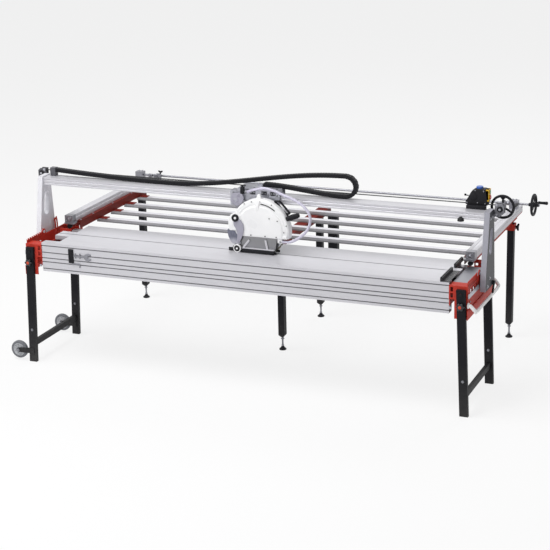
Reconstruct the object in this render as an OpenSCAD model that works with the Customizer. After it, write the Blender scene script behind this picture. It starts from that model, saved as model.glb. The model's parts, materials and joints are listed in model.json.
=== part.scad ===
// Bridge saw for tiles and slabs.
// A slotted table on folding legs carries a tilting bridge. The saw head rides along the bridge
// and a tube table behind it holds the rest of the slab.
// X runs along the cut, Y from the front to the back and Z up from the floor.

/* [Table] */
// Height of the table top above the floor
table_h = 860; // [820:5:920]
// Length of the front beam between the corner plates
beam_l = 2860; // [2700:10:3000]
// Height of the front beam
beam_h = 200; // [180:5:220]
// Depth of the front beam
beam_d = 60; // [50:1:70]
// Wall of the beams
beam_wall = 4; // [3:0.5:5]
// Distance of the front beam behind the middle of the front legs
beam_y = 18; // [18:1:24]
// Distance of the cutting line behind the middle of the front legs
slot_y = 263; // [255:1:270]
// Width of the slot that the blade runs in
slot_w = 10; // [8:1:14]
// Width of the narrow planks beside the slot
strip_w = 52; // [45:1:60]
// Distance from the middle of the front legs to the back of the table
table_d = 490; // [470:1:500]
// Thickness of the planks
plank_t = 28; // [24:1:32]
// Bare stretch between the planks and the left end
left_gap = 108; // [90:1:120]
// Bare stretch between the planks and the right end
right_gap = 58; // [50:1:70]
// Height of the cross members under the planks
member_h = 30; // [25:1:35]
// Number of cross members
member_count = 7; // [5:1:9]
// Depth of the water tray
tray_depth = 90; // [70:1:100]
// Wall of the water tray
tray_wall = 3; // [2:0.5:4]

/* [End frames] */
// Thickness of the red plates
plate_t = 5; // [4:0.5:6]
// Outer side of the end frames from the middle of the machine
end_x = 1550; // [1545:1:1560]
// Height of the end frames
end_h = 213; // [200:1:220]
// Top of the end frames below the table top
end_drop = 15; // [10:1:20]
// Width of the slotted tab beside each leg
tab_w = 35; // [30:1:45]
// Height of the slotted tab
tab_h = 88; // [80:1:95]

/* [Transport handle] */
// Height of the handle's ends above the end frame's lower edge
handle_rise = 88; // [80:1:100]
// Reach of the transport handle
handle_out = 50; // [45:1:60]
// Drop of the handle's bar below its ends
handle_fall = 45; // [40:1:55]
// Radius of the handle's bar
handle_r = 10; // [8:0.5:12]

/* [Legs] */
// Distance between the front and back legs
leg_span = 604; // [590:1:620]
// Width of a leg
leg_w = 56; // [50:1:60]
// Depth of a leg
leg_d = 24; // [20:1:24]
// Middle of a leg at its top
leg_top_x = 1510; // [1505:1:1512]
// Middle of a leg at the floor
leg_foot_x = 1540; // [1530:1:1560]
// Leg top below the table top
leg_drop = 35; // [33:1:40]
// Height of the fold pivot below the leg top
pivot_drop = 30; // [28:1:40]
// Radius of the fold pivot
pivot_r = 6; // [5:0.5:8]
// Height of the crossbar's middle
crossbar_z = 130; // [120:1:200]
// Height of the crossbar
crossbar_h = 40; // [30:1:50]
// Running clearance of the plain bearings
run_gap = 0.05; // [0.03:0.01:0.08]
// Gap between parts that pass each other
free_gap = 0.5; // [0.3:0.1:1]

/* [Transport wheels] */
// Radius of the transport wheels
wheel_r = 62.5; // [55:0.5:65]
// Width of the transport wheels
wheel_w = 30; // [25:1:36]
// Middle of the wheels from the middle of the machine
wheel_x = 1650; // [1640:1:1660]
// Height of the wheel axles
wheel_z = 75; // [70:1:80]
// Radius of the wheel axles
axle_r = 6; // [5:0.5:8]

/* [Tube table] */
// Depth of the machine behind the front legs
rear_y = 1660; // [1620:5:1700]
// Side of the square support legs
post_w = 45; // [40:1:50]
// Distance of the support legs behind the front legs
post_y = 1527; // [1520:1:1535]
// Distance of the support legs from the middle
post_x = 1434; // [1425:1:1440]
// Place of the front support leg behind the front legs
front_post_y = 771; // [760:1:780]
// Height of the levelling feet up to the posts
foot_h = 94; // [85:1:110]
// Depth of a support tube
tube_d = 44; // [40:1:55]
// Height of a support tube
tube_h = 26; // [22:1:30]
// Height of the tubes' lower side below the table top
tube_drop = 50; // [45:1:55]
// Distance from tube to tube
tube_pitch = 211.4; // [205:0.5:215]
// Front of the first tube behind the front legs
tube_y = 773; // [765:1:785]
// Number of support tubes
tube_count = 5; // [3:1:5]
// Middle of the side rails from the middle of the machine
rail_x = 1446; // [1440:1:1450]
// Width of the side rails
rail_w = 60; // [50:1:60]
// Height of the side rails
rail_h = 50; // [40:1:55]
// Height of the side rails' underside above the table top
rail_lift = 30; // [28:1:35]
// Front end of the side rails before the back of the table
rail_start = 10; // [0:1:20]

/* [Bridge] */
// Length of the bridge beam between the uprights
bridge_l = 3130; // [3124:1:3150]
// Front of the bridge beam behind the cutting line
bridge_back = 60; // [56:1:70]
// Depth of the bridge beam
bridge_d = 100; // [90:1:110]
// Height of the bridge beam
bridge_h = 50; // [45:1:60]
// Underside of the bridge beam above the table top
bridge_lift = 320; // [310:1:340]
// Thickness of the uprights
upright_t = 35; // [30:1:40]
// Radius of the bridge's tilt pivot
tilt_pivot_r = 10; // [8:0.5:12]
// Distance of the tilt clamps from the tilt pivot
tilt_r = 178; // [170:1:185]
// Angle of the tilt clamps below the horizontal
clamp_angle = 34; // [30:1:38]
// Largest tilt of the bridge in degrees
tilt_max = 45; // [40:1:45]

/* [Drive] */
// Radius of the handwheels
handwheel_r = 65; // [55:1:70]
// Radius of the belt pulleys
pulley_r = 20; // [17:1:24]
// Width of the drive belt
belt_w = 16; // [12:1:20]
// Thickness of the drive belt
belt_t = 2.5; // [2:0.1:3]
// Radius of the drive shafts
shaft_r = 8; // [6:0.5:10]
// Middle of the drive pulley from the middle of the machine
drive_x = 1634; // [1630:1:1645]

/* [Saw head] */
// Radius of the diamond blade
blade_r = 175; // [150:1:178]
// Thickness of the diamond blade
blade_t = 2.4; // [1.8:0.1:3]
// Place of the blade along the bridge
blade_x = 88; // [60:1:110]
// Depth that the blade reaches below the table top
blade_dip = 14; // [10:1:18]
// Radius of the blade guard
guard_r = 205; // [200:1:210]
// Thickness of the blade guard
guard_t = 66; // [64:1:70]
// Wall of the blade guard
guard_wall = 3; // [2.5:0.5:4]
// Lower edge of the guard below the blade's middle
guard_low = 58; // [50:1:62]
// Radius of the motor
motor_r = 62; // [55:1:66]
// Length of the motor
motor_l = 190; // [170:1:200]
// Radius of the blade's spindle
spindle_r = 11; // [9:0.5:12]
// Largest lift of the head in degrees
lift_max = 15; // [10:1:16]

/* [Energy chain] */
// Distance from link to link
link_pitch = 38; // [34:1:44]
// Height of a link
link_h = 26; // [22:1:28]
// Width of a link
link_w = 38; // [34:1:40]
// Radius of the chain's bend
bend_r = 67; // [60:1:72]

/* [Hidden] */
$fn = 48;

RED = "#c8382c";
BLACK = "#202124";
ALU = "#c9ccd0";
ZINC = "#b4b8bc";
WHITE = "#eceeee";

// Heights
plank_z = table_h - plank_t;
member_z = plank_z - member_h;
tray_z = member_z - tray_depth;
beam_z = table_h - beam_h;
end_top = table_h - end_drop;
end_low = end_top - end_h;
leg_top = table_h - leg_drop;
fold_z = leg_top - pivot_drop;
tube_z = table_h - tube_drop;
tube_top = tube_z + tube_h;
rail_z = table_h + rail_lift;
rail_y = table_d - rail_start;
bridge_z = table_h + bridge_lift;
bridge_top = bridge_z + bridge_h;
blade_z = table_h - blade_dip + blade_r;

// Places across the machine
half_l = beam_l / 2;
beam_back = beam_y + beam_d;
plate_y = leg_d / 2 + free_gap;
rear_plate_y = leg_span - leg_d / 2 - free_gap - plate_t;
inner_x = end_x - 120;
bridge_y = slot_y + bridge_back;
bridge_mid = bridge_y + bridge_d / 2;
bridge_half = bridge_l / 2;
upright_x = bridge_half + upright_t;
belt_z = bridge_top + 4;
chain_y = bridge_y + bridge_d - 19;
chain_z = bridge_top + 3 + link_h / 2;
guard_front = slot_y - guard_t / 2;
guard_back = slot_y + guard_t / 2;
cap_t = 8;

// Star knobs
knob_h = 24;
knob_r = 24;
knob_z = fold_z - 72;

// The frame's origin: the middle of the outline, on the floor
crank_tip = drive_x + handwheel_r + 1;
x_low = -wheel_x - wheel_r;
x_high = crank_tip;
y_low = -leg_d / 2 - 3 - knob_h;
y_high = rear_y + cap_t;
mid_x = (x_low + x_high) / 2;
mid_y = (y_low + y_high) / 2;

// ---- helpers ----

module place() {
    translate([-mid_x, -mid_y, 0]) children();
}

module along_x(x0, len) {
    translate([x0, 0, 0]) rotate([90, 0, 90]) linear_extrude(len) children();
}

module along_y(y0, len) {
    translate([0, y0 + len, 0]) rotate([90, 0, 0]) linear_extrude(len) children();
}

module both_ends() {
    children();
    mirror([1, 0, 0]) children();
}

module block(low, high) {
    translate(low) cube(high - low);
}

module disc_x(x0, y, z, r, len) {
    translate([x0, y, z]) rotate([0, 90, 0]) cylinder(h = len, r = r);
}

module disc_y(x, y0, z, r, len) {
    translate([x, y0 + len, z]) rotate([90, 0, 0]) cylinder(h = len, r = r);
}

module disc_z(x, y, z0, r, len) {
    translate([x, y, z0]) cylinder(h = len, r = r);
}

module hex_z(x, y, z0, r, len) {
    translate([x, y, z0]) cylinder(h = len, r = r, $fn = 6);
}

module slot_2d(a, b, r) {
    hull() {
        translate(a) circle(r, $fn = 32);
        translate(b) circle(r, $fn = 32);
    }
}

function leg_x(z) = leg_foot_x + (leg_top_x - leg_foot_x) * z / leg_top;

// ---- table ----

groove_drops = [20, 67, 106, 133, 180];
groove_w = 7;
groove_d = 3;
ledge_t = 6;

module front_beam_2d() {
    difference() {
        union() {
            translate([beam_y, beam_z]) square([beam_d, beam_h]);
            translate([beam_back, member_z - ledge_t]) square([20, ledge_t]);
        }
        for (drop = groove_drops)
            translate([beam_y - 1, table_h - drop - groove_w / 2]) square([groove_d + 1, groove_w]);
        translate([beam_y + beam_wall, table_h - 100])
            square([beam_d - 2 * beam_wall, 100 - beam_wall]);
        translate([beam_y + beam_wall, beam_z + beam_wall])
            square([beam_d - 2 * beam_wall, beam_h - 114 - 2 * beam_wall]);
    }
}

module front_beam() {
    color(ALU) along_x(-half_l, beam_l) front_beam_2d();
}

module rear_beam() {
    color(ALU) along_x(-half_l, beam_l) difference() {
        translate([table_d - 50, tray_z]) square([50, plank_z - tray_z]);
        translate([table_d - 50 + beam_wall, tray_z + beam_wall])
            square([50 - 2 * beam_wall, plank_z - tray_z - 2 * beam_wall]);
    }
}

module plank(y0, y1, x0, x1) {
    along_x(x0, x1 - x0) difference() {
        translate([y0, plank_z]) square([y1 - y0, plank_t]);
        translate([y0 + 6, plank_z - 1]) square([y1 - y0 - 12, plank_t - 5]);
    }
}

module strip_2d() {
    // the edge beside the slot is relieved so that the tilted blade passes
    y0 = slot_w / 2;
    relief = 12;
    difference() {
        polygon([[y0, table_h], [y0, table_h - 2], [y0 + relief, table_h - 2 - relief],
                 [y0 + relief, plank_z], [y0 + strip_w, plank_z], [y0 + strip_w, table_h]]);
        translate([y0 + relief + 6, plank_z - 1]) square([strip_w - relief - 12, plank_t - 5]);
    }
}

module table_planks() {
    inner_y = slot_w / 2 + strip_w;
    color(ALU) {
        plank(beam_back, slot_y - inner_y, left_gap - half_l, half_l - right_gap);
        plank(slot_y + inner_y, table_d, left_gap - half_l, half_l - right_gap);
        for (side = [0, 1])
            translate([0, slot_y, 0]) mirror([0, side, 0]) along_x(-half_l, beam_l) strip_2d();
    }
}

module cross_members() {
    member_step = (beam_l - 200) / (member_count - 1);
    color(ALU) for (i = [0 : member_count - 1])
        translate([100 - half_l + i * member_step - 20, beam_back, member_z])
            difference() {
                cube([40, table_d - 50 - beam_back, member_h]);
                translate([5, -1, -1]) cube([30, table_d, member_h - 4]);
                translate([-1, slot_y - beam_back - 15, member_h - 20]) cube([42, 30, 21]);
            }
}

module water_tray() {
    x0 = -half_l + 3;
    x1 = half_l - 3;
    color("#2b2d30") difference() {
        block([x0, beam_back, tray_z], [x1, table_d - 50, member_z - ledge_t]);
        block([x0 + tray_wall, beam_back + tray_wall, tray_z + tray_wall],
              [x1 - tray_wall, table_d - 50 - tray_wall, member_z]);
    }
}

// ---- end frames ----

module corner_plate_2d() {
    difference() {
        polygon([[inner_x, end_top], [end_x, end_top], [end_x, end_low],
                 [inner_x + tab_w, end_low], [inner_x + tab_w, end_top - tab_h],
                 [inner_x, end_top - tab_h]]);
        for (drop = [10, 49])
            translate([inner_x + 9, end_top - drop - 30]) square([17, 30]);
    }
}

module quadrant_2d() {
    difference() {
        union() {
            hull() {
                translate([slot_y, table_h]) circle(2.2 * tilt_pivot_r);
                translate([slot_y - 3 * tilt_pivot_r, end_top - 30]) square([6 * tilt_pivot_r, 10]);
            }
            // arc that carries the clamp's slot
            translate([slot_y, table_h]) intersection() {
                difference() {
                    circle(tilt_r + 18);
                    circle(tilt_r - 18);
                }
                polygon([[0, 0], 300 * [cos(-clamp_angle - 8), sin(-clamp_angle - 8)],
                         300 * [cos(tilt_max - clamp_angle + 8), sin(tilt_max - clamp_angle + 8)]]);
            }
        }
        translate([slot_y, table_h]) circle(tilt_pivot_r + run_gap);
        translate([slot_y, table_h]) intersection() {
            difference() {
                circle(tilt_r + 6.5);
                circle(tilt_r - 6.5);
            }
            polygon([[0, 0], 300 * [cos(-clamp_angle - 3), sin(-clamp_angle - 3)],
                     300 * [cos(tilt_max - clamp_angle + 3), sin(tilt_max - clamp_angle + 3)]]);
        }
    }
}

module end_frame() {
    side_y1 = rear_plate_y + plate_t;
    difference() {
        union() {
            along_y(plate_y, plate_t) corner_plate_2d();
            along_y(rear_plate_y, plate_t) corner_plate_2d();
            // outer side plate with its top and bottom flanges
            block([end_x - plate_t, plate_y, end_low + 60], [end_x, side_y1, end_top]);
            block([half_l, plate_y, end_top - plate_t], [end_x, beam_back + 10, end_top]);
            block([half_l, rear_plate_y - 60, end_top - plate_t], [end_x, side_y1, end_top]);
            block([end_x - 60, plate_y, end_low + 60], [end_x, side_y1, end_low + 60 + plate_t]);
            // inner plate that closes the tray's end
            block([half_l, beam_y, tray_z], [half_l + plate_t, table_d, plank_z]);
            block([half_l, table_d - 60, tray_z], [end_x - 30, table_d - 60 + plate_t, end_top]);
            along_x(end_x, plate_t) quadrant_2d();
        }
        for (y = [plate_y + 60 : 60 : 200])
            block([end_x - plate_t - 1, y, end_top - 60], [end_x + plate_t + 1, y + 30, end_top - 30]);
        disc_x(end_x - plate_t - 1, slot_y, table_h, tilt_pivot_r + run_gap, plate_t + 2);
        along_x(end_x - plate_t - 1, plate_t + 2) translate([slot_y, table_h]) intersection() {
            difference() {
                circle(tilt_r + 6.5);
                circle(tilt_r - 6.5);
            }
            polygon([[0, 0], 300 * [cos(-clamp_angle - 3), sin(-clamp_angle - 3)],
                     300 * [cos(tilt_max - clamp_angle + 3), sin(tilt_max - clamp_angle + 3)]]);
        }
    }
    // fold pivots of the legs
    for (y = [plate_y, rear_plate_y + plate_t])
        fold_pin(y);
}

module fold_pin(y) {
    outward = y < leg_span / 2 ? -1 : 1;
    far = outward < 0 ? y - leg_d - 2 * free_gap - 5 : y;
    disc_y(leg_x(fold_z), far, fold_z, pivot_r, leg_d + 2 * free_gap + 5);
    head = outward < 0 ? far : far + leg_d + 2 * free_gap;
    disc_y(leg_x(fold_z), head, fold_z, pivot_r + 4, 5);
}

module left_end_frame() {
    color(RED) mirror([1, 0, 0]) end_frame();
}

module right_end_frame() {
    color(RED) end_frame();
}

// ---- legs ----

module leg_2d() {
    polygon([[leg_top_x - leg_w / 2, leg_top], [leg_top_x + leg_w / 2, leg_top],
             [leg_foot_x + leg_w / 2, 0], [leg_foot_x - leg_w / 2, 0]]);
}

module leg_frame() {
    cross_x = leg_x(crossbar_z);
    difference() {
        union() {
            for (y = [0, leg_span])
                along_y(y - leg_d / 2, leg_d) leg_2d();
            block([cross_x - 12, leg_d / 2, crossbar_z - crossbar_h / 2],
                  [cross_x + 12, leg_span - leg_d / 2, crossbar_z + crossbar_h / 2]);
        }
        for (y = [0, leg_span])
            disc_y(leg_x(fold_z), y - leg_d / 2 - 1, fold_z, pivot_r + run_gap, leg_d + 2);
        disc_y(leg_x(knob_z), -leg_d / 2 - 1, knob_z, 5 + run_gap, leg_d + 2);
    }
}

module left_leg_frame() {
    color(BLACK) mirror([1, 0, 0]) leg_frame();
}

module right_leg_frame() {
    color(BLACK) leg_frame();
}

module star_knob() {
    y0 = -leg_d / 2 - 3 - knob_h;
    disc_y(leg_x(knob_z), y0, knob_z, knob_r - 6, knob_h);
    for (a = [0 : 60 : 300])
        disc_y(leg_x(knob_z) + (knob_r - 8) * cos(a), y0 + 2, knob_z + (knob_r - 8) * sin(a), 8,
               knob_h - 8);
    disc_y(leg_x(knob_z), y0 + 1, knob_z, 5, knob_h + 2 + leg_d);
}

module left_star_knob() {
    color(BLACK) mirror([1, 0, 0]) star_knob();
}

module right_star_knob() {
    color(BLACK) star_knob();
}

bracket_t = 5;
wheel_y0 = -leg_d / 2 + 1;

module wheel_brackets() {
    color(BLACK) for (y = [0, leg_span]) {
        along_y(y - leg_d / 2 - bracket_t, bracket_t) hull() {
            translate([-wheel_x, wheel_z]) circle(16, $fn = 32);
            translate([-leg_foot_x, wheel_z + 5]) square([30, 40], center = true);
        }
        disc_y(-wheel_x, y - leg_d / 2, wheel_z, axle_r, wheel_w + 3);
        disc_y(-wheel_x, y + wheel_y0 + wheel_w + 1, wheel_z, axle_r + 4, 4);
        disc_y(-wheel_x, y - leg_d / 2 - bracket_t - 4, wheel_z, axle_r + 2, 4);
    }
}

module wheel(y) {
    rim_r = wheel_r - 16;
    translate([-wheel_x, y + wheel_w, wheel_z]) rotate([90, 0, 0])
        rotate_extrude() polygon([[rim_r, 1], [wheel_r - 5, 1], [wheel_r, 6],
            [wheel_r, wheel_w - 6], [wheel_r - 5, wheel_w - 1], [rim_r, wheel_w - 1]]);
    difference() {
        union() {
            disc_y(-wheel_x, y + 6, wheel_z, rim_r, wheel_w - 12);
            disc_y(-wheel_x, y, wheel_z, 14, wheel_w);
        }
        disc_y(-wheel_x, y - 1, wheel_z, axle_r + run_gap, wheel_w + 2);
        for (a = [0 : 60 : 300])
            disc_y(-wheel_x + 30 * cos(a), y, wheel_z + 30 * sin(a), 8, wheel_w);
    }
}

module front_wheel() {
    color("#55585c") wheel(wheel_y0);
}

module rear_wheel() {
    color("#55585c") wheel(leg_span + wheel_y0);
}

// ---- tube table ----

function tube_front(i) = tube_y + i * tube_pitch;

module side_beams() {
    beam_in = rail_x - rail_w / 2 - 26;
    beam_out = rail_x + rail_w / 2;
    web_x = beam_out - 40;
    y0 = table_d + 2;
    color(RED) both_ends() {
        block([beam_in, y0, rail_z - 6], [beam_out, rear_y, rail_z]);
        block([web_x, y0, end_top], [web_x + 6, rear_y, rail_z - 6]);
        block([web_x, rear_plate_y + plate_t + 1, tube_top], [web_x + 6, rear_y, end_top]);
        block([beam_in, y0, tube_top], [beam_in + 6, rear_y, rail_z - 6]);
        // lap onto the end frame
        block([web_x + 6, table_d - 50, end_top], [web_x + 12, rail_y + 100, rail_z - 10]);
        difference() {
            block([post_x - post_w / 2 - 6, post_y - post_w / 2 - 6, tube_top - 46],
                  [post_x + post_w / 2 + 6, post_y + post_w / 2 + 6, tube_top]);
            block([post_x - post_w / 2, post_y - post_w / 2, tube_top - 47],
                  [post_x + post_w / 2, post_y + post_w / 2, tube_top + 1]);
            disc_x(post_x, post_y, tube_top - 24, 5 + run_gap, post_w);
        }
        for (i = [0 : tube_count - 1])
            block([beam_in - 60, tube_front(i) - 4, tube_top],
                  [beam_in, tube_front(i) + tube_d + 4, tube_top + 4]);
    }
}

module support_tubes() {
    tube_half = rail_x - rail_w / 2 - 4;
    color(ALU) for (i = [0 : tube_count - 1])
        along_x(-tube_half, 2 * tube_half) translate([tube_front(i), tube_z]) difference() {
            square([tube_d, tube_h]);
            translate([3, 3]) square([tube_d - 6, tube_h - 6]);
        }
}

module middle_beam() {
    color(RED) {
        difference() {
            block([-30, table_d, tube_z - 40], [50, rear_y, tube_z]);
            block([-26, table_d - 1, tube_z - 41], [46, rear_y + 1, tube_z - 4]);
        }
    }
}

module post(x, y, top) {
    difference() {
        union() {
            block([x - post_w / 2, y - post_w / 2, foot_h + 16], [x + post_w / 2, y + post_w / 2, top]);
            intersection() {
                along_y(y - post_w / 2, post_w)
                    polygon([[x - post_w / 2, foot_h + 16], [x + post_w / 2, foot_h + 16],
                             [x + 9, foot_h], [x - 9, foot_h]]);
                along_x(x - post_w / 2, post_w)
                    polygon([[y - post_w / 2, foot_h + 16], [y + post_w / 2, foot_h + 16],
                             [y + 9, foot_h], [y - 9, foot_h]]);
            }
        }
        disc_z(x, y, foot_h - 1, 6 + run_gap, 80);
    }
}

module support_legs() {
    color(BLACK) {
        for (x = [-post_x, post_x])
            post(x, post_y, tube_top);
        post(10, post_y, tube_z - 4);
        post(10, front_post_y, tube_z - 4);
        // spare leg stowed beside the middle beam
        block([82, post_y - post_w / 2, tube_z - 310], [152, post_y + post_w / 2, tube_z - 1]);
        block([50, post_y - 17, tube_z - 34], [82, post_y + 17, tube_z - 6]);
    }
}

module foot(x, y) {
    difference() {
        union() {
            disc_z(x, y, 0, 26, 6);
            translate([x, y, 6]) cylinder(h = 20, r1 = 26, r2 = 11);
            disc_z(x, y, 20, 6, foot_h + 20);
            hex_z(x, y, 30, 10, 8);
        }
    }
}

module left_foot() {
    color(BLACK) foot(-post_x, post_y);
}

module middle_foot() {
    color(BLACK) foot(10, post_y);
}

module right_foot() {
    color(BLACK) foot(post_x, post_y);
}

module front_foot() {
    color(BLACK) foot(10, front_post_y);
}

module side_rails() {
    color(ALU) both_ends() along_y(rail_y, rear_y - rail_y) translate([rail_x, rail_z]) difference() {
        translate([-rail_w / 2, 0]) square([rail_w, rail_h]);
        translate([-rail_w / 2 + 4, 4]) square([rail_w - 8, rail_h - 8]);
        translate([-8, rail_h - 5]) square([16, 6]);
        for (side = [-1, 1])
            translate([side * rail_w / 2, rail_h * 0.6]) rotate(45) square(5, center = true);
    }
}

module rail_end_caps() {
    color(BLACK) both_ends()
        block([rail_x - rail_w / 2, rear_y, rail_z - 6], [rail_x + rail_w / 2, rear_y + cap_t, rail_z + rail_h]);
}

module zinc_brackets() {
    color(ZINC) {
        both_ends() difference() {
            block([rail_x - rail_w / 2, rail_y - 50, rail_z], [rail_x + rail_w / 2, rail_y, rail_z + rail_h]);
            disc_y(rail_x, rail_y - 51, rail_z + rail_h / 2, 15, 52);
        }
        both_ends()
            block([rail_x - rail_w / 2 - 10, rail_y - 60, rail_z - 10], [rail_x + rail_w / 2, rail_y, rail_z]);
        block([half_l + plate_t, beam_back + 10, plank_z], [end_x - plate_t, table_d - 62, end_top]);
    }
}

module wing_knob() {
    x0 = post_x + post_w / 2 + 6;
    y = post_y;
    z = tube_top - 24;
    color(BLACK) {
        disc_x(x0 - 5.5, y, z, 5, 28);
        hull() {
            disc_x(x0 + 14, y, z, 8, 10);
            translate([x0 + 22, y - 22, z + 8]) sphere(5, $fn = 24);
        }
        hull() {
            disc_x(x0 + 14, y, z, 8, 10);
            translate([x0 + 22, y + 22, z - 8]) sphere(5, $fn = 24);
        }
    }
}

shaft_y = post_y + 20;
shaft_z = rail_z + rail_h + 34;

module bearing_blocks() {
    color(ZINC) both_ends() difference() {
        block([rail_x - rail_w / 2, shaft_y - 25, rail_z + rail_h], [rail_x + rail_w / 2, shaft_y + 25, shaft_z + 24]);
        disc_x(rail_x - rail_w, shaft_y, shaft_z, shaft_r + run_gap, 2 * rail_w);
    }
}

module rear_shaft() {
    color(ZINC) disc_x(-rail_x - rail_w / 2 - 6, shaft_y, shaft_z, shaft_r, drive_x + rail_x + rail_w / 2 - 18);
}

module handwheel() {
    rotate_extrude() translate([handwheel_r - 9, 0]) circle(9);
    difference() {
        union() {
            translate([0, 0, -12]) cylinder(h = 24, r = 17);
            for (a = [0 : 120 : 240])
                rotate(a) translate([10, -6, -4]) cube([handwheel_r - 20, 12, 8]);
        }
        translate([0, 0, -13]) cylinder(h = 26, r = shaft_r + run_gap);
    }
    translate([handwheel_r - 9, 0, 9]) cylinder(h = 74, r1 = 8, r2 = 10);
}

module rear_handwheel() {
    color(BLACK) translate([drive_x - 30, shaft_y, shaft_z]) rotate([0, 90, 0]) rotate(90) handwheel();
}

module cross_fence() {
    x0 = half_l - right_gap;
    color("#3a3c40") {
        for (span = [[beam_y, slot_y - slot_w / 2], [slot_y + slot_w / 2 + strip_w, table_d]])
            along_y(span[0], span[1] - span[0]) difference() {
                translate([x0, table_h]) square([14, 26]);
                translate([x0 + 4, table_h + 17]) square([6, 10]);
            }
        block([x0 + 14, beam_y, table_h], [x0 + 14 + 44, slot_y - slot_w / 2, table_h + 3]);
    }
}

module transport_handle() {
    x0 = end_x + plate_t;
    z0 = end_low + handle_rise;
    color(WHITE) {
        for (y = [30, leg_span - 30])
            hull() {
                disc_x(x0 - plate_t, y, z0, 14, 6);
                translate([x0 + handle_out, y, z0 - handle_fall]) sphere(handle_r, $fn = 24);
            }
        translate([x0 + handle_out, 30, z0 - handle_fall]) rotate([-90, 0, 0])
            cylinder(h = leg_span - 60, r = handle_r);
    }
}

module frame_bolts() {
    // heads on the outer side plates
    bolt_r = 7;
    color(ZINC) both_ends() for (y = [60, leg_span - 60], z = [end_low + 74, end_low + 104])
        translate([end_x, y, z]) rotate([0, 90, 0]) cylinder(h = 5, r = bolt_r, $fn = 6);
}

// ---- bridge ----

module bridge_beam() {
    color(ALU) along_x(-bridge_half, bridge_l) translate([bridge_y, bridge_z]) difference() {
        square([bridge_d, bridge_h]);
        translate([5, 5]) square([bridge_d / 2 - 8, bridge_h - 10]);
        translate([bridge_d / 2 + 3, 5]) square([bridge_d / 2 - 8, bridge_h - 10]);
        for (y = [0, bridge_d])
            for (z = [14, 36])
                translate([y, z]) rotate(45) square(5, center = true);
    }
}

module upright_2d() {
    difference() {
        polygon([[slot_y - 24, table_h - 115], [slot_y + 190, table_h - 115],
                 [slot_y + 190, table_h - 60], [bridge_y + bridge_d - 6, bridge_top + 8],
                 [bridge_y - 8, bridge_top + 8], [slot_y - 24, table_h - 40]]);
        translate([slot_y + tilt_r * cos(clamp_angle), table_h - tilt_r * sin(clamp_angle)])
            circle(6 + run_gap);
        slot_2d([bridge_y + 20, table_h + 0.42 * bridge_lift], [bridge_y + 38, table_h + 0.74 * bridge_lift], 32);
    }
}

module bridge_uprights() {
    color(ZINC) both_ends() {
        along_x(bridge_half, upright_t) upright_2d();
        disc_x(bridge_half - 8 - plate_t * 2, slot_y, table_h, tilt_pivot_r, 8 + plate_t * 2);
    }
}

module tilt_lever() {
    y = slot_y + tilt_r * cos(clamp_angle);
    z = table_h - tilt_r * sin(clamp_angle);
    disc_x(end_x - plate_t - 4, y, z, 6, upright_x - end_x + plate_t + 10);
    disc_x(upright_x + 1, y, z, 13, 14);
    hull() {
        disc_x(upright_x + 5, y, z, 8, 8);
        translate([upright_x + 9, y - 30, z - 56]) sphere(7, $fn = 24);
    }
}

module left_tilt_lever() {
    color(BLACK) mirror([1, 0, 0]) tilt_lever();
}

module right_tilt_lever() {
    color(BLACK) tilt_lever();
}

bracket_y = bridge_y + bridge_d + 1;
bracket_t2 = 8;
pulley_y0 = bracket_y + bracket_t2 + 2;
pulley_w = belt_w + 4;
bracket_back = pulley_y0 + pulley_w + 2;

module pulley_brackets() {
    z0 = belt_z - 48;
    z1 = belt_z + 34;
    color(ZINC) both_ends() difference() {
        union() {
            along_y(bracket_y, bracket_t2) polygon([[upright_x, z0], [drive_x, z0],
                [drive_x + 26, z0 + 22], [drive_x + 26, z1 - 16], [drive_x + 10, z1], [upright_x, z1]]);
            along_y(bracket_back, bracket_t2) polygon([[upright_x, z0], [drive_x, z0],
                [drive_x + 26, z0 + 22], [drive_x + 26, z1 - 16], [drive_x + 10, z1], [upright_x, z1]]);
            block([upright_x, bracket_y - 24, z0],
                  [upright_x + 6, bracket_back + bracket_t2, belt_z - pulley_r - 8]);
        }
        disc_y(drive_x, bracket_y - 1, belt_z, shaft_r + run_gap, 70);
    }
    // anchor of the energy chain
    color(ZINC) block([flat_x0 - 41, chain_y - link_w / 2 - 2, bridge_top],
        [flat_x0 - 1.1, chain_y + link_w / 2 - 2, bridge_top + link_h + sag_h + 4]);
}

module pulley(x) {
    difference() {
        disc_y(x, pulley_y0, belt_z, pulley_r, pulley_w);
        disc_y(x, pulley_y0 - 1, belt_z, shaft_r, pulley_w + 2);
    }
}

module idler_pulley() {
    color(ZINC) {
        disc_y(-drive_x, bracket_y - 4, belt_z, shaft_r, bracket_back + bracket_t2 + 8 - bracket_y);
        pulley(-drive_x);
    }
}

module drive_shaft() {
    color(ZINC) {
        disc_y(drive_x, bracket_y - 6, belt_z, shaft_r, wheel_plane - bracket_y + 24);
        pulley(drive_x);
    }
}

module drive_belt() {
    y0 = pulley_y0 + 2;
    color("#2a2a2c") along_y(y0, belt_w) difference() {
        belt_2d(pulley_r + 0.3 + belt_t);
        belt_2d(pulley_r + 0.3);
    }
}

module belt_2d(r) {
    translate([-drive_x, belt_z - r]) square([2 * drive_x, 2 * r]);
    for (x = [-drive_x, drive_x])
        translate([x, belt_z]) circle(r);
}

wheel_plane = bracket_back + bracket_t2 + 26;

module front_handwheel() {
    color(BLACK) translate([drive_x, wheel_plane, belt_z]) rotate([-90, 0, 0]) handwheel();
}

box_x = 1412;
box_w = 140;
box_d = 60;
box_y = bridge_y + bridge_d + 1;
box_z = belt_z + 16;
box_h = 104;

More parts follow.
